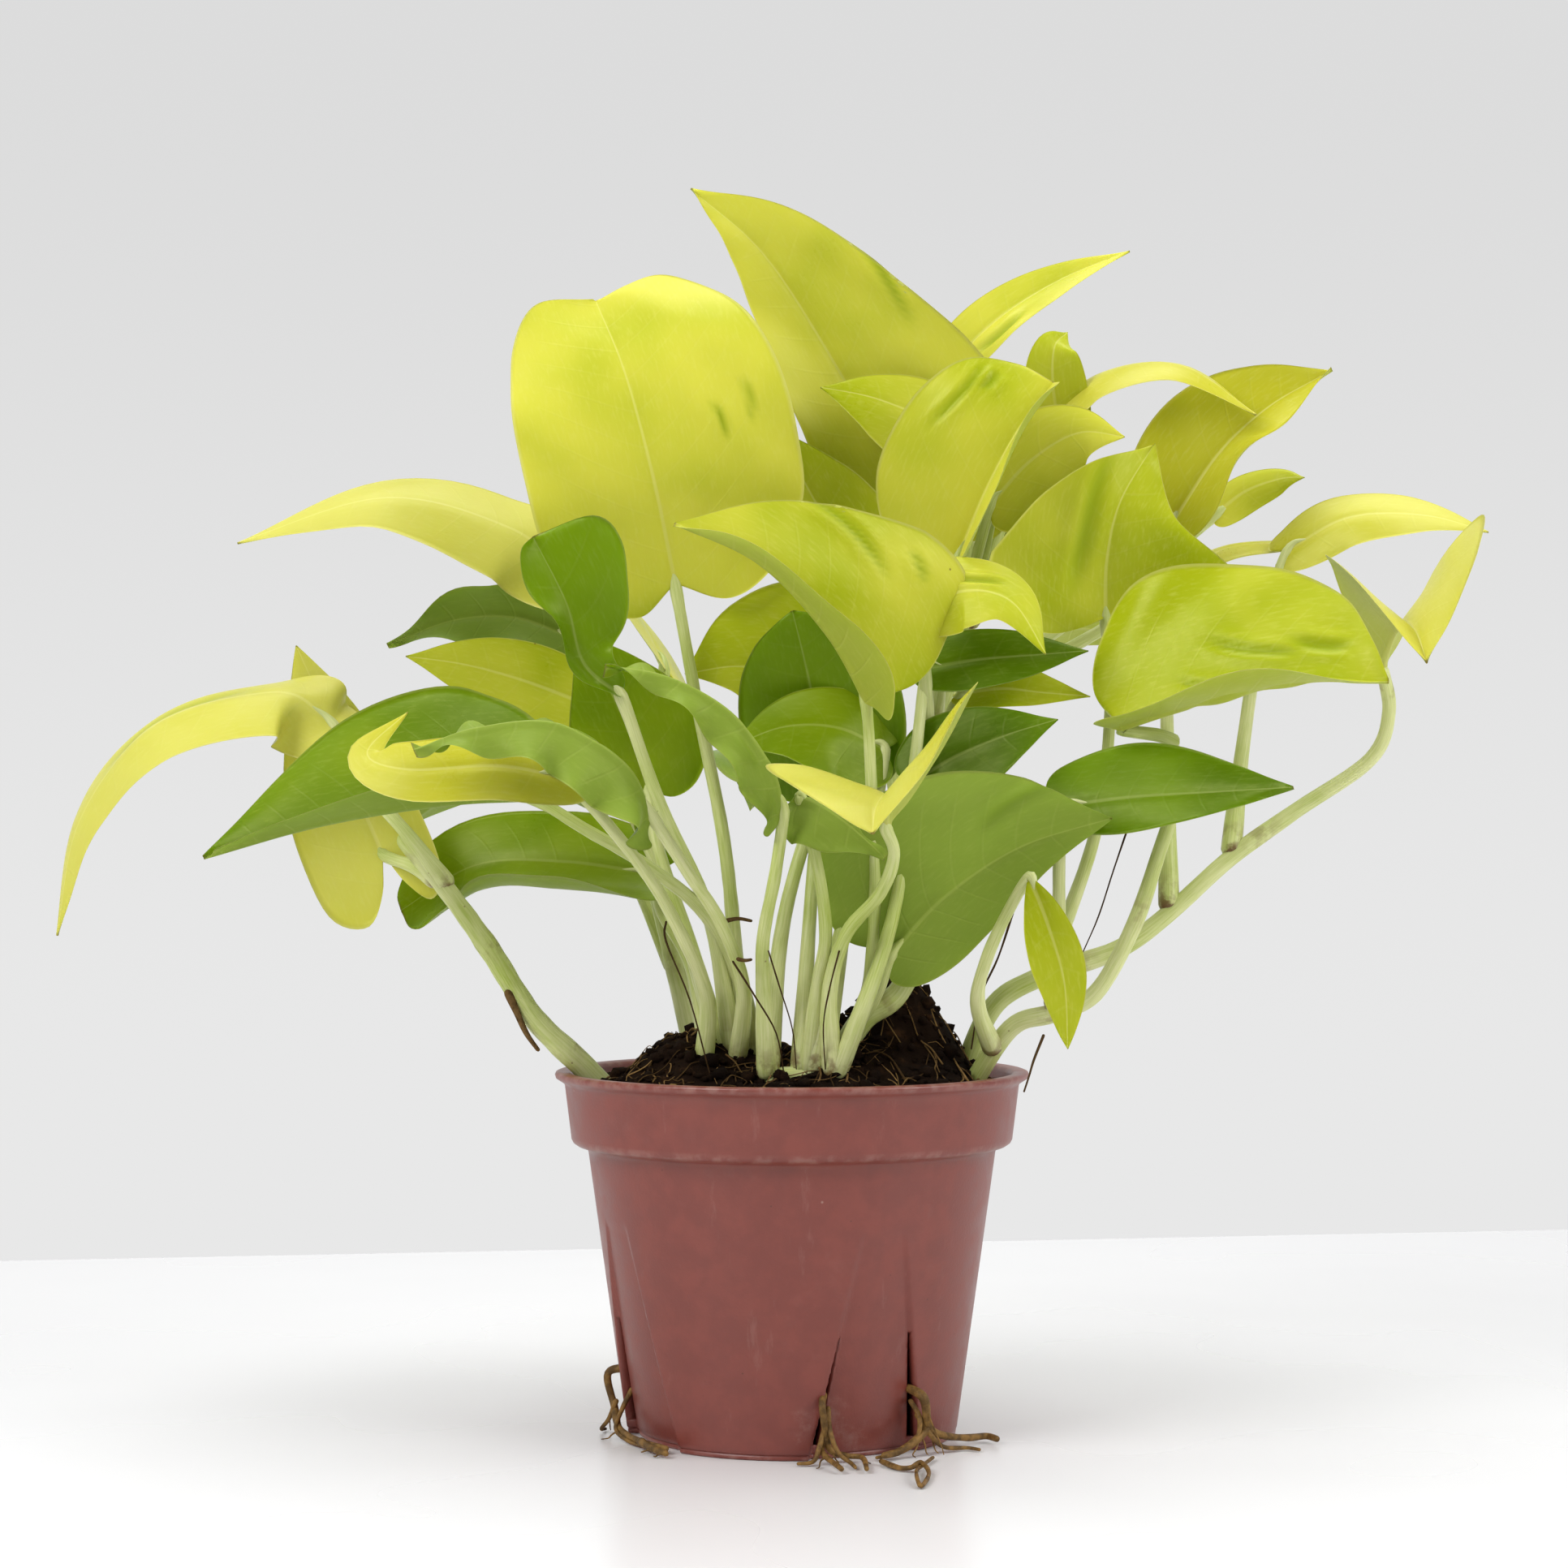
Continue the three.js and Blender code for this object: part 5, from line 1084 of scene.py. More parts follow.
def strand(points, radius, sides=12, per_point=7, seed="", channel=0.0, rough=0.03):
    """A round strand along points. radius(t) gives its radius at each share of its length.

    channel is the depth of its groove and rough its unevenness, as shares of the radius.
    """
    t = np.linspace(0, 1, (len(points) - 1) * per_point + 1)
    t = np.unique(np.concatenate([t, END_STEPS, 1 - np.array(END_STEPS)]))
    count = len(t)
    centre, ahead = smooth_path(points, t)
    rng = random.Random(seed)
    side = np.cross(ahead[0], ODD_WAY)
    run = np.concatenate([[0], np.cumsum(np.linalg.norm(np.diff(centre, axis=0), axis=1))])
    size = radius(t)
    near_end = np.clip(np.minimum(run, run[-1] - run) / size, 0, 1)
    size = size * np.sqrt(np.clip(1 - (1 - near_end) ** 2, 0.02, 1))
    vertices, flat = [], []
    lumps = [(rng.uniform(0.2, 0.9), rng.uniform(0, ANY_TURN)) for _ in range(3)]
    for k in range(count):
        side = side - ahead[k] * (side @ ahead[k])
        side /= np.linalg.norm(side)
        across = np.cross(ahead[k], side)
        lump = sum(math.sin(f * run[k] + s) for f, s in lumps) / 3
        for j in range(sides):
            a = 2 * math.pi * j / sides
            groove = channel * max(0.0, math.cos(a)) ** 4
            r = size[k] * (1 + rough * lump * (1 + 0.5 * math.sin(2 * a)) - groove)
            vertices.append(centre[k] + r * (math.cos(a) * side + math.sin(a) * across))
            flat.append((j / sides * 2, run[k] / 10))
    faces = grid_faces(count, sides, wrap=True)
    faces.append(tuple(range(sides))[::-1])
    faces.append(tuple((count - 1) * sides + j for j in range(sides)))
    return np.array(vertices), faces, np.array(flat), np.repeat(t, sides)


def with_skin(made_strand, joint=lambda t: 0, tone=0):
    """A strand with its skin data: share along, nothing across, joint mask and tone."""
    points, faces, flat, t = made_strand
    return points, faces, flat, np.column_stack([t, t * 0, t * 0 + joint(t), t * 0 + tone])


def strands_piece(name, parts, made_material, nodes):
    """One piece out of several strands that have their skin data."""
    points, faces, flats, datas = [], [], [], []
    first = 0
    for vertices, quads, flat, data in parts:
        points.append(vertices)
        faces += [tuple(first + i for i in face) for face in quads]
        flats.append(flat)
        datas.append(data)
        first += len(vertices)
    return piece(name, np.vstack(points) * MM, faces, [made_material], nodes,
                 flat=np.vstack(flats), leaf=np.vstack(datas))


def stalk_strand(name, leaf):
    """The stalk of one leaf: sheathed at its foot, swollen and then thinned under the blade."""
    plant = settings("plant")
    foot, tip = plant.stalk / MM, plant.stalk_tip / MM
    rib, ahead = smooth_path(leaf["rib"], np.array(ALONG_BLADE))
    below = rib - leaf_up(leaf, ahead) * np.array(UNDER_BLADE)[:, None]
    route = [*leaf["stalk"], tuple(below[0]), tuple(below[1])]
    under = 1 - 1 / (len(route) - 1)

    def radius(t):
        sheath = SHEATH_SWELL * np.exp(-(t / SHEATH_LONG) ** 2)
        knee = KNEE_SWELL * np.exp(-((t - under) / KNEE_LONG) ** 2)
        melt = STALK_MELT * np.clip((t - under) / (1 - under), 0, 1)
        return (foot + (tip - foot) * t) * (1 + sheath + knee) * (1 - melt)

    made = strand(route, radius, sides=12, per_point=7, seed=name, channel=CHANNEL)
    return with_skin(made, lambda t: np.exp(-(t / FOOT_SCAR_LONG) ** 2))


def make_vine(name, vine):
    """The piece of one vine with the stalks of its leaves."""
    low, high = vine["radius"]

    def beat(t):
        return np.cos(2 * np.pi * (t + JOINT_SHIFT) * VINE_WAVES)

    def radius(t):
        return (low + (high - low) * t) * (1 + JOINT_SWELL * beat(t) ** 8)

    made = strand(vine["route"], radius, sides=16, per_point=8, seed=name)
    parts = [with_skin(made, lambda t: JOINT_SCAR * beat(t) ** 40)]
    parts += [stalk_strand(leaf_name, leaf) for leaf_name, leaf in LEAVES.items()
              if leaf["stem"] == name and leaf["stalk"]]
    return strands_piece(name + "_vine", parts, stalk_material(), [name])


# ---------------------------------------------------------------- pot

POT_AROUND = 480
# Sunk panels, in millimetres and degrees: how far the first is turned to the right of the
# front, how high they reach, half their width at the foot and at the top, and their depth
# at the top.
PANEL_TURN = 27
PANEL_HIGH = 55
PANEL_LOW_HALF, PANEL_HIGH_HALF = 15.2, 5.6
PANEL_HIGH_DEPTH = 0.3
# Widths over which a panel's sides and its top run out into the wall.
PANEL_SIDE_EASE, PANEL_TOP_EASE = 0.9, 1.5
# How far inside the foot's radius the panels sink the base and the slits are cut.
PANEL_REACH, SLIT_REACH = 4, 12
# Slits along the sides of a panel: heights of their ends and their widths there.
SLIT_LOW, SLIT_HIGH = 3.5, 30
SLIT_LOW_WIDTH, SLIT_HIGH_WIDTH = 2.4, 0.7


def panel_half(z):
    """Half width of a sunk panel at a height, in millimetres."""
    return PANEL_LOW_HALF + (PANEL_HIGH_HALF - PANEL_LOW_HALF) * z / PANEL_HIGH


def pot_profile():
    """Radius and height down the outside from the lip, in millimetres, with a wear mask."""
    pot = settings("pot")
    top, lip, drop = pot.height / MM, pot.lip_radius / MM, pot.lip_drop / MM
    band_top, band_low, band_z = pot.band_top / MM, pot.band_low / MM, pot.band_z / MM
    body, body_z, base = pot.body_top / MM, pot.body_z / MM, pot.base / MM
    corner = [(band_top - 1.0, top - 0.15, 1), (lip - 0.9, top, 1), (lip - 0.25, top - 0.25, 1),
              (lip, top - 0.8, 1), (lip - 0.25, top - drop + 0.6, 0.6), (lip - 1.2, top - drop, 0),
              (band_top + 0.25, top - drop - 0.7, 0)]
    band_high, band_foot = top - drop - 1.2, band_z + 1.6
    band = [(band_top + (band_low - band_top) * k, band_high + (band_foot - band_high) * k, 0)
            for k in np.linspace(0, 1, 7)]
    step = [(band_low - 0.1, band_z + 0.7, 0.6), (band_low - 0.5, band_z - 0.1, 1),
            (band_low - 1.4, band_z - 0.7, 0.7), (body + 0.9, band_z - 1.1, 0),
            (body + 0.25, band_z - 1.6, 0)]
    wall = [(base + (body - base) * z / body_z, z, 0) for z in np.linspace(body_z - 0.6, 1.8, 56)]
    foot = [(base + 0.05, 1.5, 0.4), (base - 0.25, 1.35, 0), (base - 0.25, 1.15, 0),
            (base, 1, 0.5), (base - 0.1, 0.3, 1), (base - 0.5, 0, 0.5),
            (base - 6, 0, 0), (base - 14, 0, 0), (0.5, 0, 0)]
    return corner + band + step + wall + foot


def make_pot():
    """The pot's shell, turned from its profile, with panels sunk and slits cut through."""
    pot = settings("pot")
    wall = pot.wall / MM
    outside = pot_profile()
    body_wall = [(r, z) for r, z, _ in outside if 2 < z < pot.body_z / MM]
    inside = [(0.5, pot.floor / MM, 0), *((r - wall, z, 0) for r, z in body_wall[::-1]
                                          if z > pot.floor / MM)]
    inside += [(pot.band_low / MM - wall, pot.band_z / MM + 1.2, 0),
               (pot.band_top / MM - wall, pot.height / MM - 1.4, 0),
               (pot.band_top / MM - 1.6, pot.height / MM - 0.5, 1)]
    profile = outside + inside
    turn = np.linspace(0, 2 * np.pi, POT_AROUND, endpoint=False)
    panel_at = np.radians(PANEL_TURN + 360 / pot.panels * np.arange(pot.panels))
    vertices, edge = [], []
    for index, (r, z, wear) in enumerate(profile):
        radius = np.full(POT_AROUND, float(r))
        if z < PANEL_HIGH and r > pot.base / MM - PANEL_REACH:
            low_depth = pot.panel_depth / MM
            depth = low_depth + (PANEL_HIGH_DEPTH - low_depth) * z / PANEL_HIGH
            half = panel_half(z) + (0 if index < len(outside) else wall)
            for at in panel_at:
                off = np.abs((turn - at + np.pi) % (2 * np.pi) - np.pi) * r
                inward = np.clip((half - off) / PANEL_SIDE_EASE + 0.5, 0, 1)
                level = np.clip((PANEL_HIGH - z) / PANEL_TOP_EASE, 0, 1)
                radius -= depth * inward * inward * (3 - 2 * inward) * level
        vertices.append(np.column_stack([radius * np.sin(turn), -radius * np.cos(turn),
                                         np.full(POT_AROUND, z)]))
        edge.append(np.full(POT_AROUND, wear))
    vertices = np.vstack(vertices)
    rows = len(profile)
    faces = grid_faces(rows, POT_AROUND, wrap=True)
    closing = [((rows - 1) * POT_AROUND + j, (rows - 1) * POT_AROUND + (j + 1) % POT_AROUND,
                (j + 1) % POT_AROUND, j) for j in range(POT_AROUND)]
    faces += closing
    made = piece("pot_shell", vertices * MM, faces, [pot_material()], ["pot"])
    wear = made.data.attributes.new("edge", "FLOAT", "POINT")
    wear.data.foreach_set("value", np.concatenate(edge))
    cut_slits(made, panel_at)
    return made


def cut_slits(shell, panel_at):
    """Cuts the tapered drainage slit along each side of each panel through the wall."""
    pot = settings("pot")
    points, faces = [], []
    for at in panel_at:
        c, s = math.cos(at), math.sin(at)
        for hand in (-1, 1):
            low, high = panel_half(SLIT_LOW), panel_half(SLIT_HIGH)
            outline = [(low - SLIT_LOW_WIDTH, SLIT_LOW), (low, SLIT_LOW), (high, SLIT_HIGH),
                       (high - SLIT_HIGH_WIDTH, SLIT_HIGH)]
            outline = outline if hand > 0 else [(-x, z) for x, z in outline[::-1]]
            first = len(points)
            for depth in (pot.base / MM - SLIT_REACH, pot.lip_radius / MM):
                points += [((x * c + depth * s) * MM, (x * s - depth * c) * MM, z * MM)
                           for x, z in outline]
            faces.append(tuple(first + k for k in (3, 2, 1, 0)))
            faces.append(tuple(first + 4 + k for k in range(4)))
            faces += [(first + k, first + (k + 1) % 4, first + 4 + (k + 1) % 4, first + 4 + k)
                      for k in range(4)]
    cutter_mesh = bpy.data.meshes.new("slit cutter")
    cutter_mesh.from_pydata(points, [], faces)
    cutter = bpy.data.objects.new("slit_cutter", cutter_mesh)
    bpy.context.scene.collection.objects.link(cutter)
    cut = shell.modifiers.new("slits", "BOOLEAN")
    cut.object = cutter
    cut.operation = "DIFFERENCE"
    cut.solver = "EXACT"
    bpy.context.view_layer.objects.active = shell
    shell.select_set(True)
    bpy.ops.object.modifier_apply(modifier=cut.name)
    bpy.data.objects.remove(cutter)
    shell.data.polygons.foreach_set("use_smooth", [True] * len(shell.data.polygons))


# ---------------------------------------------------------------- peat

# In millimetres: height of the peat at the wall, its radius, and its mounds as x, y, height
# and width.
SOIL_EDGE = 87
SOIL_RADIUS = 54.6
SOIL_MOUNDS = [(-27, -18, 13, 12), (30, -12, 24, 11), (13, -22, 8, 13), (2, 6, 6, 24),
               (22, 30, 4, 16), (-24, 26, 4, 16)]
# Heaps of loose peat over the crowns, which the packed soil doesn't have.
CROWN_HEAPS = [(2, -35, 3.2, 8), (-17, -25, 2, 7)]
# The root ball inside the pot, from its foot up: radius and height.
SOIL_CORE = [(0.5, 3), (36.5, 3), (45.5, 60), (48.6, 70), (53, 75.5), (54.2, 80)]
SOIL_AROUND, SOIL_RINGS = 240, 80
# Lumps of the surface: height, width and seed.
SOIL_LUMPS = [(1.5, 7, 1), (1.0, 3.1, 2), (0.5, 1.4, 3)]
# Loose crumbs and fibres lie within this share of the radius.
LOOSE_SHARE = 0.97
# Points each way of a lattice of random heights, and where the pot's axis lies in it.
LATTICE, LATTICE_START = 64, (31.7, 17.3)


def lattice_noise(x, y, scale, seed):
    """Smooth random heights in -1..1 over the plane."""
    grid = np.random.RandomState(seed).uniform(-1, 1, (LATTICE, LATTICE))
    u, v = x / scale + LATTICE_START[0], y / scale + LATTICE_START[1]
    i, j = np.floor(u).astype(int), np.floor(v).astype(int)
    f, g = u - i, v - j
    f, g = f * f * (3 - 2 * f), g * g * (3 - 2 * g)
    i, j, right, above = (k % LATTICE for k in (i, j, i + 1, j + 1))
    a, b = grid[i, j], grid[right, j]
    c, d = grid[i, above], grid[right, above]
    return (a + (b - a) * f) * (1 - g) + (c + (d - c) * f) * g


def soil_height(x, y):
    """Height of the peat in millimetres, mounded round the stems and crumbly."""
    x, y = np.asarray(x, float), np.asarray(y, float)
    fade = 1 - np.minimum(1, np.hypot(x, y) / SOIL_RADIUS) ** 6
    mounds = sum(h * np.exp(-((x - mx) ** 2 + (y - my) ** 2) / (2 * s * s))
                 for mx, my, h, s in SOIL_MOUNDS + CROWN_HEAPS)
    lumps = sum(h * lattice_noise(x, y, width, seed) for h, width, seed in SOIL_LUMPS)
    return SOIL_EDGE + mounds * fade + lumps * np.maximum(fade, 0.35)


def make_soil():
    """The bed of peat with the root ball under it."""
    turn = np.linspace(0, 2 * np.pi, SOIL_AROUND, endpoint=False)
    levels = [*SOIL_CORE, *((SOIL_RADIUS * k, None) for k in np.linspace(1, 0.02, SOIL_RINGS))]
    points = []
    for r, level in levels:
        x, y = r * np.sin(turn), -r * np.cos(turn)
        z = soil_height(x, y) if level is None else np.full(SOIL_AROUND, float(level))
        points.append(np.column_stack([x, y, z]))
    faces = grid_faces(len(levels), SOIL_AROUND, wrap=True)
    faces.append(tuple((len(levels) - 1) * SOIL_AROUND + j for j in range(SOIL_AROUND)))
    faces.append(tuple(range(SOIL_AROUND))[::-1])
    return piece("soil_bed", np.vstack(points) * MM, faces, [peat_material()], ["soil"])


def scatter_place(rng):
    """A random place on the surface of the peat, in millimetres."""
    r = SOIL_RADIUS * LOOSE_SHARE * math.sqrt(rng.random())
    a = rng.uniform(0, 2 * math.pi)
    x, y = r * math.sin(a), -r * math.cos(a)
    return x, y, float(soil_height(x, y))


# Crumbs: half widths of the small and the large ones in millimetres, the share of small ones,
# and how far each axis and each corner may differ.
CRUMB_SMALL, CRUMB_LARGE, SMALL_SHARE = (0.35, 1.1), (1.1, 2.2), 0.85
CRUMB_STRETCH, CRUMB_CORNER = (0.6, 1.5), (0.7, 1.25)
# How flat crumbs lie, and how far they are lifted as a share of their size.
CRUMB_FLAT, CRUMB_LIFT = 0.8, 0.2


def crumb_shape():
    """Corners and triangles of a regular solid of 20 faces."""
    golden = (1 + math.sqrt(5)) / 2
    signs = [(s, t * golden) for s in (-1, 1) for t in (-1, 1)]
    corners = np.array([(0, s, t) for s, t in signs] + [(s, t, 0) for s, t in signs]
                       + [(t, 0, s) for s, t in signs], float)
    corners /= np.linalg.norm(corners[0])
    gap = np.linalg.norm(corners[:, None] - corners[None], axis=2)
    near = (gap > 0.1) & (gap < 1.1)
    triangles = []
    for i, j, k in combinations(range(len(corners)), 3):
        if near[i, j] and near[j, k] and near[i, k]:
            normal = np.cross(corners[j] - corners[i], corners[k] - corners[i])
            triangles.append((i, j, k) if normal @ corners[i] > 0 else (i, k, j))
    return corners, triangles


def make_crumbs():
    """Loose crumbs of peat and bark on the surface."""
    rng = random.Random("crumbs")
    corners, triangles = crumb_shape()
    points, faces = [], []
    for _ in range(settings("ground").crumbs):
        x, y, z = scatter_place(rng)
        size = rng.uniform(*(CRUMB_SMALL if rng.random() < SMALL_SHARE else CRUMB_LARGE))
        stretch = np.array([rng.uniform(*CRUMB_STRETCH) for _ in range(3)]) * size
        first = len(points)
        spin = rng.uniform(0, ANY_TURN)
        c, s = math.cos(spin), math.sin(spin)
        for corner in corners:
            p = corner * stretch * rng.uniform(*CRUMB_CORNER)
            points.append((x + p[0] * c - p[1] * s, y + p[0] * s + p[1] * c,
                           z + p[2] * CRUMB_FLAT + CRUMB_LIFT * size))
        faces += [(first + i, first + j, first + k) for i, j, k in triangles]
    return piece("soil_crumbs", np.array(points) * MM, faces, [peat_material()], ["soil"])


# Fibres in the peat: pieces in each, stride and radius in millimetres, and turn in radians.
FIBRE_STEPS, FIBRE_STRIDE = (3, 6), (1.2, 3.2)
FIBRE_RADIUS, FIBRE_BEND = (0.12, 0.34), 0.7
# How far a fibre's start and its other points lie above the peat, in millimetres.
FIBRE_START, FIBRE_LIFT = 0.2, (0.1, 1.3)


def make_fibres():
    """Straw, bark strips and root hairs lying in the peat."""
    rng = random.Random("fibres")
    parts = []
    for index in range(settings("ground").fibres):
        x, y, z = scatter_place(rng)
        heading = rng.uniform(0, 2 * math.pi)
        steps = rng.randint(*FIBRE_STEPS)
        stride = rng.uniform(*FIBRE_STRIDE)
        route = [(x, y, z + FIBRE_START)]
        for _ in range(steps):
            heading += rng.uniform(-FIBRE_BEND, FIBRE_BEND)
            x, y = x + stride * math.sin(heading), y - stride * math.cos(heading)
            if math.hypot(x, y) > SOIL_RADIUS * LOOSE_SHARE:
                break
            route.append((x, y, float(soil_height(x, y)) + rng.uniform(*FIBRE_LIFT)))
        if len(route) < 3:
            continue
        thick = rng.uniform(*FIBRE_RADIUS)
        made = strand(route, lambda t: thick * (1 - 0.5 * t), sides=5, per_point=3,
                      seed=str(index))
        parts.append(with_skin(made, tone=rng.random() ** 2))
    return strands_piece("soil_fibres", parts, fibre_material(), ["soil"])


# ---------------------------------------------------------------- roots and scraps

# Where the first root of each tuft leaves the peat: degrees, radius, height.
SLIT_STARTS = {"root_left": (-81, 40.5, 17), "root_middle": (10.9, 40.5, 16),
               "root_right": (43.2, 40.5, 16)}
# Thin roots of each tuft, x, y, z in millimetres.
THIN_ROOTS = {
    "root_left": [
        [(-40, -7, 12), (-42.5, -8, 7), (-44, -12, 2.6), (-41, -18, 0.9), (-37, -25, 0.7)],
        [(-44, -6, 9), (-46, -5, 4), (-48, -4, 1.2), (-47, -1, 0.6)],
    ],
    "root_middle": [
        [(8.6, -40, 13), (9, -44.5, 8), (11, -46, 3), (14, -48, 0.9), (15, -53, 0.7)],
        [(8, -42, 9), (6.5, -46, 4.5), (5, -47.5, 1.2), (1, -48, 0.7)],
    ],
    "root_right": [
        [(28.6, -30, 13), (31, -33.5, 9), (30, -35, 4), (26, -37, 1.4), (20, -41, 0.8)],
        [(30, -32, 10), (33.5, -33, 5), (37, -31, 1.6), (43, -28, 0.8), (46, -30, 0.7)],
        [(21, -45, 0.9), (25, -53, 0.8), (28, -55, 1.2), (30.5, -53, 2), (32, -61, 1),
         (29.5, -75, 0.8), (29, -62, 1.6), (31, -51, 1), (34, -40, 0.8)],
    ],
}

# Hair-like old roots and scraps of sheath on the stalks: radius, shade and route in millimetres.
SCRAPS = [
    (0.28, 0.0, [(-30.5, -40, 130), (-30.5, -40, 125), (-24.8, -40, 111), (-20, -38, 93)]),
    (0.28, 0.0, [(-14.4, -44, 120.5), (-9, -44, 112), (-3.9, -42, 103), (-2, -38, 93)]),
    (0.22, 0.0, [(-5.8, -44, 123), (-3, -44, 114), (0, -42, 104), (1, -39, 94)]),
    (0.24, 0.0, [(11.3, -44, 123), (9, -44, 114), (7.5, -42, 105), (8, -39, 94)]),
    (0.3, 0.0, [(53.6, -37, 132), (50, -36, 121), (45.9, -32, 111), (44, -26, 98)]),
    (0.24, 0.0, [(82, -37, 154), (78, -36, 142), (74.5, -35, 131), (70.7, -34, 122)]),
    (0.4, 0.1, [(61.6, -30, 102), (59, -32, 96), (57.7, -33, 92), (56.5, -32, 88)]),
    (0.6, 0.2, [(-16.3, -43, 130), (-13, -43.5, 130.6), (-9.6, -43, 130)]),
    (0.6, 0.2, [(-13.5, -44, 121), (-11.5, -44.5, 120.6), (-9.6, -44, 120.8)]),
    (1.1, 0.45, [(-71.5, -10.2, 112), (-69, -11, 106.5), (-66.5, -10.6, 101), (-63.5, -9, 96.5)]),
]


def make_scraps():
    """Old root hairs and brown scraps of sheath that cling to the stalks."""
    parts = []
    for index, (thick, tone, route) in enumerate(SCRAPS):
        made = strand(route, lambda t: thick * (1 - 0.4 * t), sides=6, per_point=5,
                      seed=str(index), rough=0.2)
        parts.append(with_skin(made, tone=tone))
    return strands_piece("stalk_scraps", parts, fibre_material(),
                         ["stem_left", "stem_centre", "stem_right_front"])


# A root's radius at its start, and what it loses on its way, as shares of its tuft's radius.
ROOT_START, ROOT_LOSS = 0.85, 0.3
# Radii of thin roots and of hair roots, and the lowest point of any root, in millimetres.
THIN_ROOT, HAIR_ROOT = 0.7, 0.26
ROOT_LOWEST = 0.05
# Hair roots: how far they reach, how far they turn from straight out in radians, how far
# they stray, the share of their start's height that they drop by each step, and their lowest.
HAIRS_PER_ROOT = 2
HAIR_REACH, HAIR_TURN, HAIR_STRAY = (2, 6), 1.2, 0.6
HAIR_DROP, HAIR_LOWEST = 0.4, 0.4


def hair_route(rng, route):
    """The way of a hair root from a random place on a root outward and down."""
    start = smooth_path(route, np.array([rng.uniform(0.15, 0.95)]))[0][0]
    out = start[:2] / np.linalg.norm(start[:2])
    turn = rng.uniform(-HAIR_TURN, HAIR_TURN)
    way = np.array([out[0] * math.cos(turn) - out[1] * math.sin(turn),
                    out[0] * math.sin(turn) + out[1] * math.cos(turn)])
    reach = rng.uniform(*HAIR_REACH)
    hair = [tuple(start)]
    for k in (1, 2, 3):
        stray = [rng.uniform(-HAIR_STRAY, HAIR_STRAY) for _ in range(2)]
        spot = start[:2] + way * reach * k / 3 + np.array(stray)
        hair.append((*spot, max(HAIR_LOWEST, start[2] * (1 - HAIR_DROP * k))))
    return hair


def make_roots():
    """Tufts of roots out of the slits, with thin roots and hair roots among them."""
    for name, (radius, strands) in ROOTS.items():
        rng = random.Random(name)
        parts = []
        for index, points in enumerate(strands):
            inside = [SLIT_STARTS[name]] if index == 0 else []
            route = [(r * math.sin(math.radians(a)), -r * math.cos(math.radians(a)), z)
                     for a, r, z in [*inside, *points]]
            parts.append(strand(route, lambda t: radius * (ROOT_START - ROOT_LOSS * t),
                                sides=10, per_point=8, seed=name, rough=0.1))
            for _ in range(HAIRS_PER_ROOT):
                parts.append(strand(hair_route(rng, route), lambda t: HAIR_ROOT * (1 - 0.5 * t),
                                    sides=6, per_point=4, seed=name, rough=0.1))
        for route in THIN_ROOTS[name]:
            parts.append(strand(route, lambda t: THIN_ROOT * (1 - 0.4 * t), sides=8,
                                per_point=8, seed=name, rough=0.12))
        for made in parts:
            made[0][:, 2] = np.maximum(made[0][:, 2], ROOT_LOWEST)
        strands_piece(name + "_tuft", [with_skin(made) for made in parts], root_material(),
                      [name])


# ---------------------------------------------------------------- stage

# In metres: half the table's width, how far its far edge runs back for each metre to the
# right, and the backdrop's place behind the pot, half width and lowest and highest edge.
TABLE_HALF, TABLE_TILT = 3, 0.16
BACKDROP_BACK, BACKDROP_HALF, BACKDROP_EDGES = 2.2, 4, (-2, 3)
# How much darker the backdrop is high up.
BACKDROP_FALL = 0.11
SENSOR_WIDTH = 36
# Lights: place and target in metres, width in metres and power in watts.
LIGHTS = {
    "key": ((-0.9, -0.8, 1.0), (0, 0, 0.15), 0.8, 13.5),
    "fill": ((1.1, -0.5, 0.8), (0, 0, 0.15), 0.9, 10),
    "top": ((0.0, 0.1, 1.4), (0, 0, 0.1), 1.0, 10),
}
ROOM_LIGHT = 0.3


def stage_plane(name, corners, made_material):
    """A flat part of the stage."""
    mesh = bpy.data.meshes.new(name)
    mesh.from_pydata(corners, [], [(0, 1, 2, 3)])
    mesh.materials.append(made_material)
    made = bpy.data.objects.new(name, mesh)
    bpy.context.scene.collection.objects.link(made)
    return made


def make_planes():
    """The white table, whose far edge is slightly turned, and the lit backdrop."""
    stage = settings("stage")

    def table(tree, shader):
        haze = noise(tree, object_space(tree), 6.0, 2)
        join(tree, ramp(tree, haze, 0.3, 0.7, 0.24, 0.3), shader, "Roughness")

    def backdrop(tree, shader):
        height = node(tree, "SeparateXYZ", {0: object_space(tree)}).outputs[2]
        tint = blend(tree, ramp(tree, height, -0.1, 0.9), stage.backdrop,
                     mixed(stage.backdrop, (0, 0, 0), BACKDROP_FALL))
        join(tree, tint, shader, "Emission Color")

    white = material("table lacquer", table, Base_Color=(*stage.table, 1), Specular_IOR_Level=0.35)
    grey = material("lit backdrop", backdrop, Roughness=0.9, Base_Color=(0, 0, 0, 1),
                    Specular_IOR_Level=0.0, Emission_Strength=1.0)
    half, far, turned = TABLE_HALF, stage.table_depth, TABLE_HALF * TABLE_TILT
    stage_plane("table_top", [(-half, -half, 0), (half, -half, 0), (half, far + turned, 0),
                              (-half, far - turned, 0)], white)
    half, back, (low, high) = BACKDROP_HALF, BACKDROP_BACK, BACKDROP_EDGES
    stage_plane("backdrop", [(-half, back, low), (half, back, low), (half, back, high),
                             (-half, back, high)], grey)


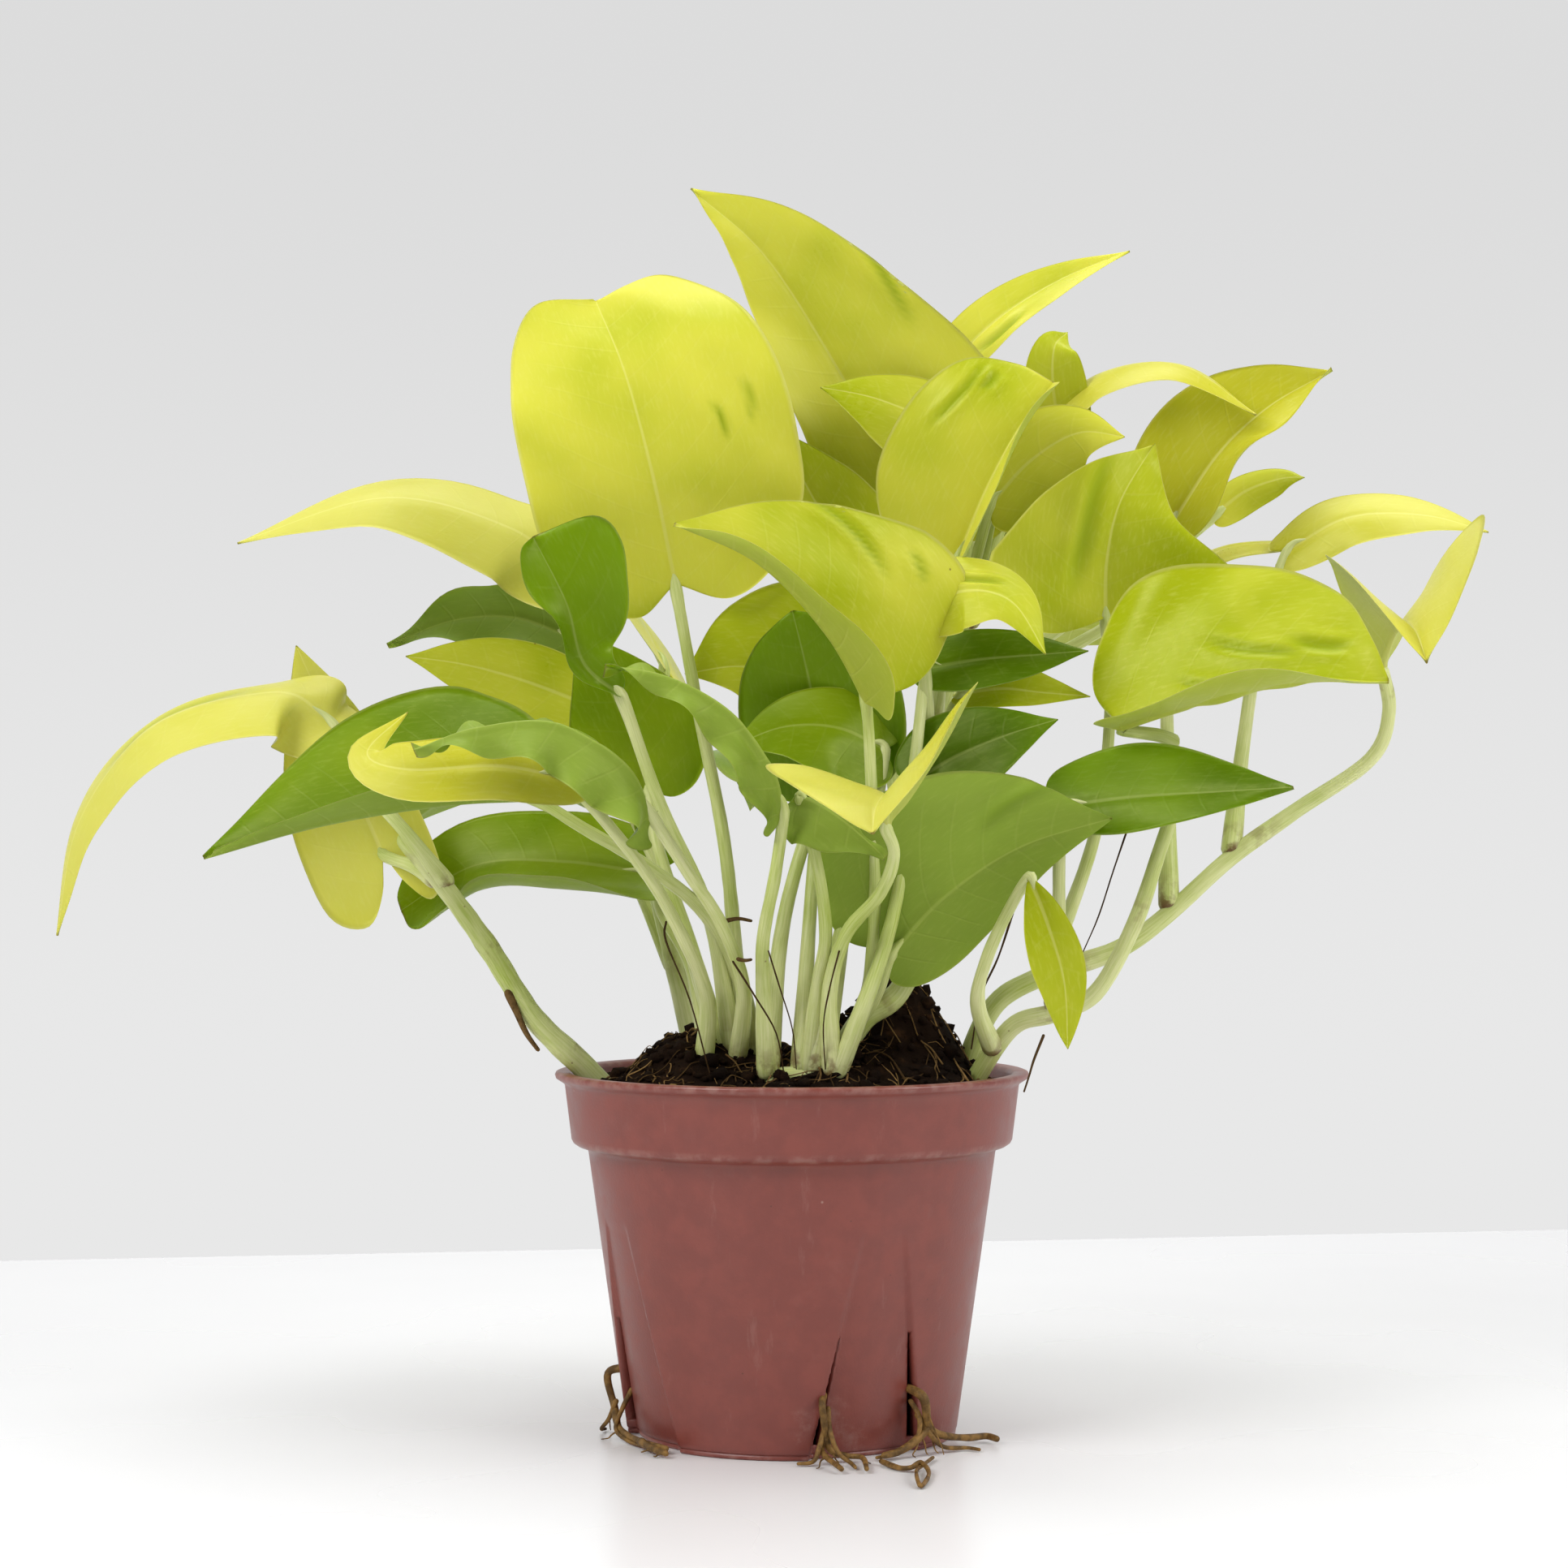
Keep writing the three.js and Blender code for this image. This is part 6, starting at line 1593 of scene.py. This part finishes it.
def make_camera():
    """The camera in front of the pot, looking slightly up."""
    stage = settings("stage")
    camera = bpy.data.cameras.new("camera")
    camera.lens = stage.focal
    camera.sensor_width = SENSOR_WIDTH
    camera.clip_start = 0.01
    eye = bpy.data.objects.new("camera", camera)
    eye.location = (stage.camera_side, -stage.camera_distance, stage.camera_height)
    eye.rotation_euler = (math.pi / 2 + stage.camera_pitch, 0, 0)
    bpy.context.scene.collection.objects.link(eye)
    bpy.context.scene.camera = eye


def make_lights():
    """Three soft round lights and the even light of a white room."""
    for name, (place, target, width, power) in LIGHTS.items():
        light = bpy.data.lights.new(name, "AREA")
        light.shape = "DISK"
        light.size = width
        light.energy = power
        made = bpy.data.objects.new(name, light)
        made.location = place
        towards = np.array(target) - np.array(place)
        made.rotation_euler = (math.acos(-towards[2] / np.linalg.norm(towards)), 0,
                               math.atan2(towards[1], towards[0]) - math.pi / 2)
        bpy.context.scene.collection.objects.link(made)
    world = bpy.data.worlds.new("soft room")
    world.use_nodes = True
    background = world.node_tree.nodes["Background"]
    background.inputs["Color"].default_value = (1, 1, 1, 1)
    background.inputs["Strength"].default_value = ROOM_LIGHT
    bpy.context.scene.world = world


# ---------------------------------------------------------------- operators


class PotOperator(bpy.types.Operator):
    """Builds the nursery pot"""

    bl_idname = "pothos.pot"
    bl_label = "Pot"

    def execute(self, context):
        make_pot()
        return {"FINISHED"}


class SoilOperator(bpy.types.Operator):
    """Builds the peat with its crumbs and fibres"""

    bl_idname = "pothos.soil"
    bl_label = "Peat"

    def execute(self, context):
        make_soil()
        make_crumbs()
        make_fibres()
        return {"FINISHED"}


class VinesOperator(bpy.types.Operator):
    """Builds the vines with the stalks of their leaves"""

    bl_idname = "pothos.vines"
    bl_label = "Vines and stalks"

    def execute(self, context):
        for name, vine in VINES.items():
            make_vine(name, vine)
        make_scraps()
        return {"FINISHED"}


class LeavesOperator(bpy.types.Operator):
    """Builds the leaf blades"""

    bl_idname = "pothos.leaves"
    bl_label = "Leaf blades"

    def execute(self, context):
        for name, leaf in LEAVES.items():
            make_blade(name, leaf)
        return {"FINISHED"}


class RootsOperator(bpy.types.Operator):
    """Builds the roots that come out of the slits"""

    bl_idname = "pothos.roots"
    bl_label = "Roots"

    def execute(self, context):
        make_roots()
        return {"FINISHED"}


class StageOperator(bpy.types.Operator):
    """Builds the table, the backdrop, the lights and the camera"""

    bl_idname = "pothos.stage"
    bl_label = "Stage"

    def execute(self, context):
        make_planes()
        make_camera()
        make_lights()
        context.scene.view_settings.view_transform = "Standard"
        return {"FINISHED"}


OPERATORS = [StageOperator, PotOperator, SoilOperator, VinesOperator, LeavesOperator,
             RootsOperator]


class PothosPanel(bpy.types.Panel):
    """Lists the plant's pieces and their settings"""

    bl_idname = "VIEW3D_PT_pothos"
    bl_label = "Potted pothos"
    bl_space_type = "VIEW_3D"
    bl_region_type = "UI"
    bl_category = "Pothos"

    def draw(self, context):
        for operator in OPERATORS:
            self.layout.operator(operator.bl_idname)
        for part, kind in SETTINGS.items():
            box = self.layout.box()
            box.label(text=part.capitalize())
            for name in kind.__annotations__:
                box.prop(settings(part), name)


def register():
    """Registers the settings, the operators and the panel."""
    for part, kind in SETTINGS.items():
        bpy.utils.register_class(kind)
        setattr(bpy.types.Scene, "pothos_" + part, PointerProperty(type=kind))
    for kind in (*OPERATORS, PothosPanel):
        bpy.utils.register_class(kind)


def unregister():
    """Takes away the panel, the operators and the settings."""
    for kind in (PothosPanel, *reversed(OPERATORS)):
        bpy.utils.unregister_class(kind)
    for part, kind in SETTINGS.items():
        delattr(bpy.types.Scene, "pothos_" + part)
        bpy.utils.unregister_class(kind)


def main():
    """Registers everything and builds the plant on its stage."""
    register()
    for operator in OPERATORS:
        category, name = operator.bl_idname.split(".")
        getattr(getattr(bpy.ops, category), name)()


if __name__ == "__main__":
    main()
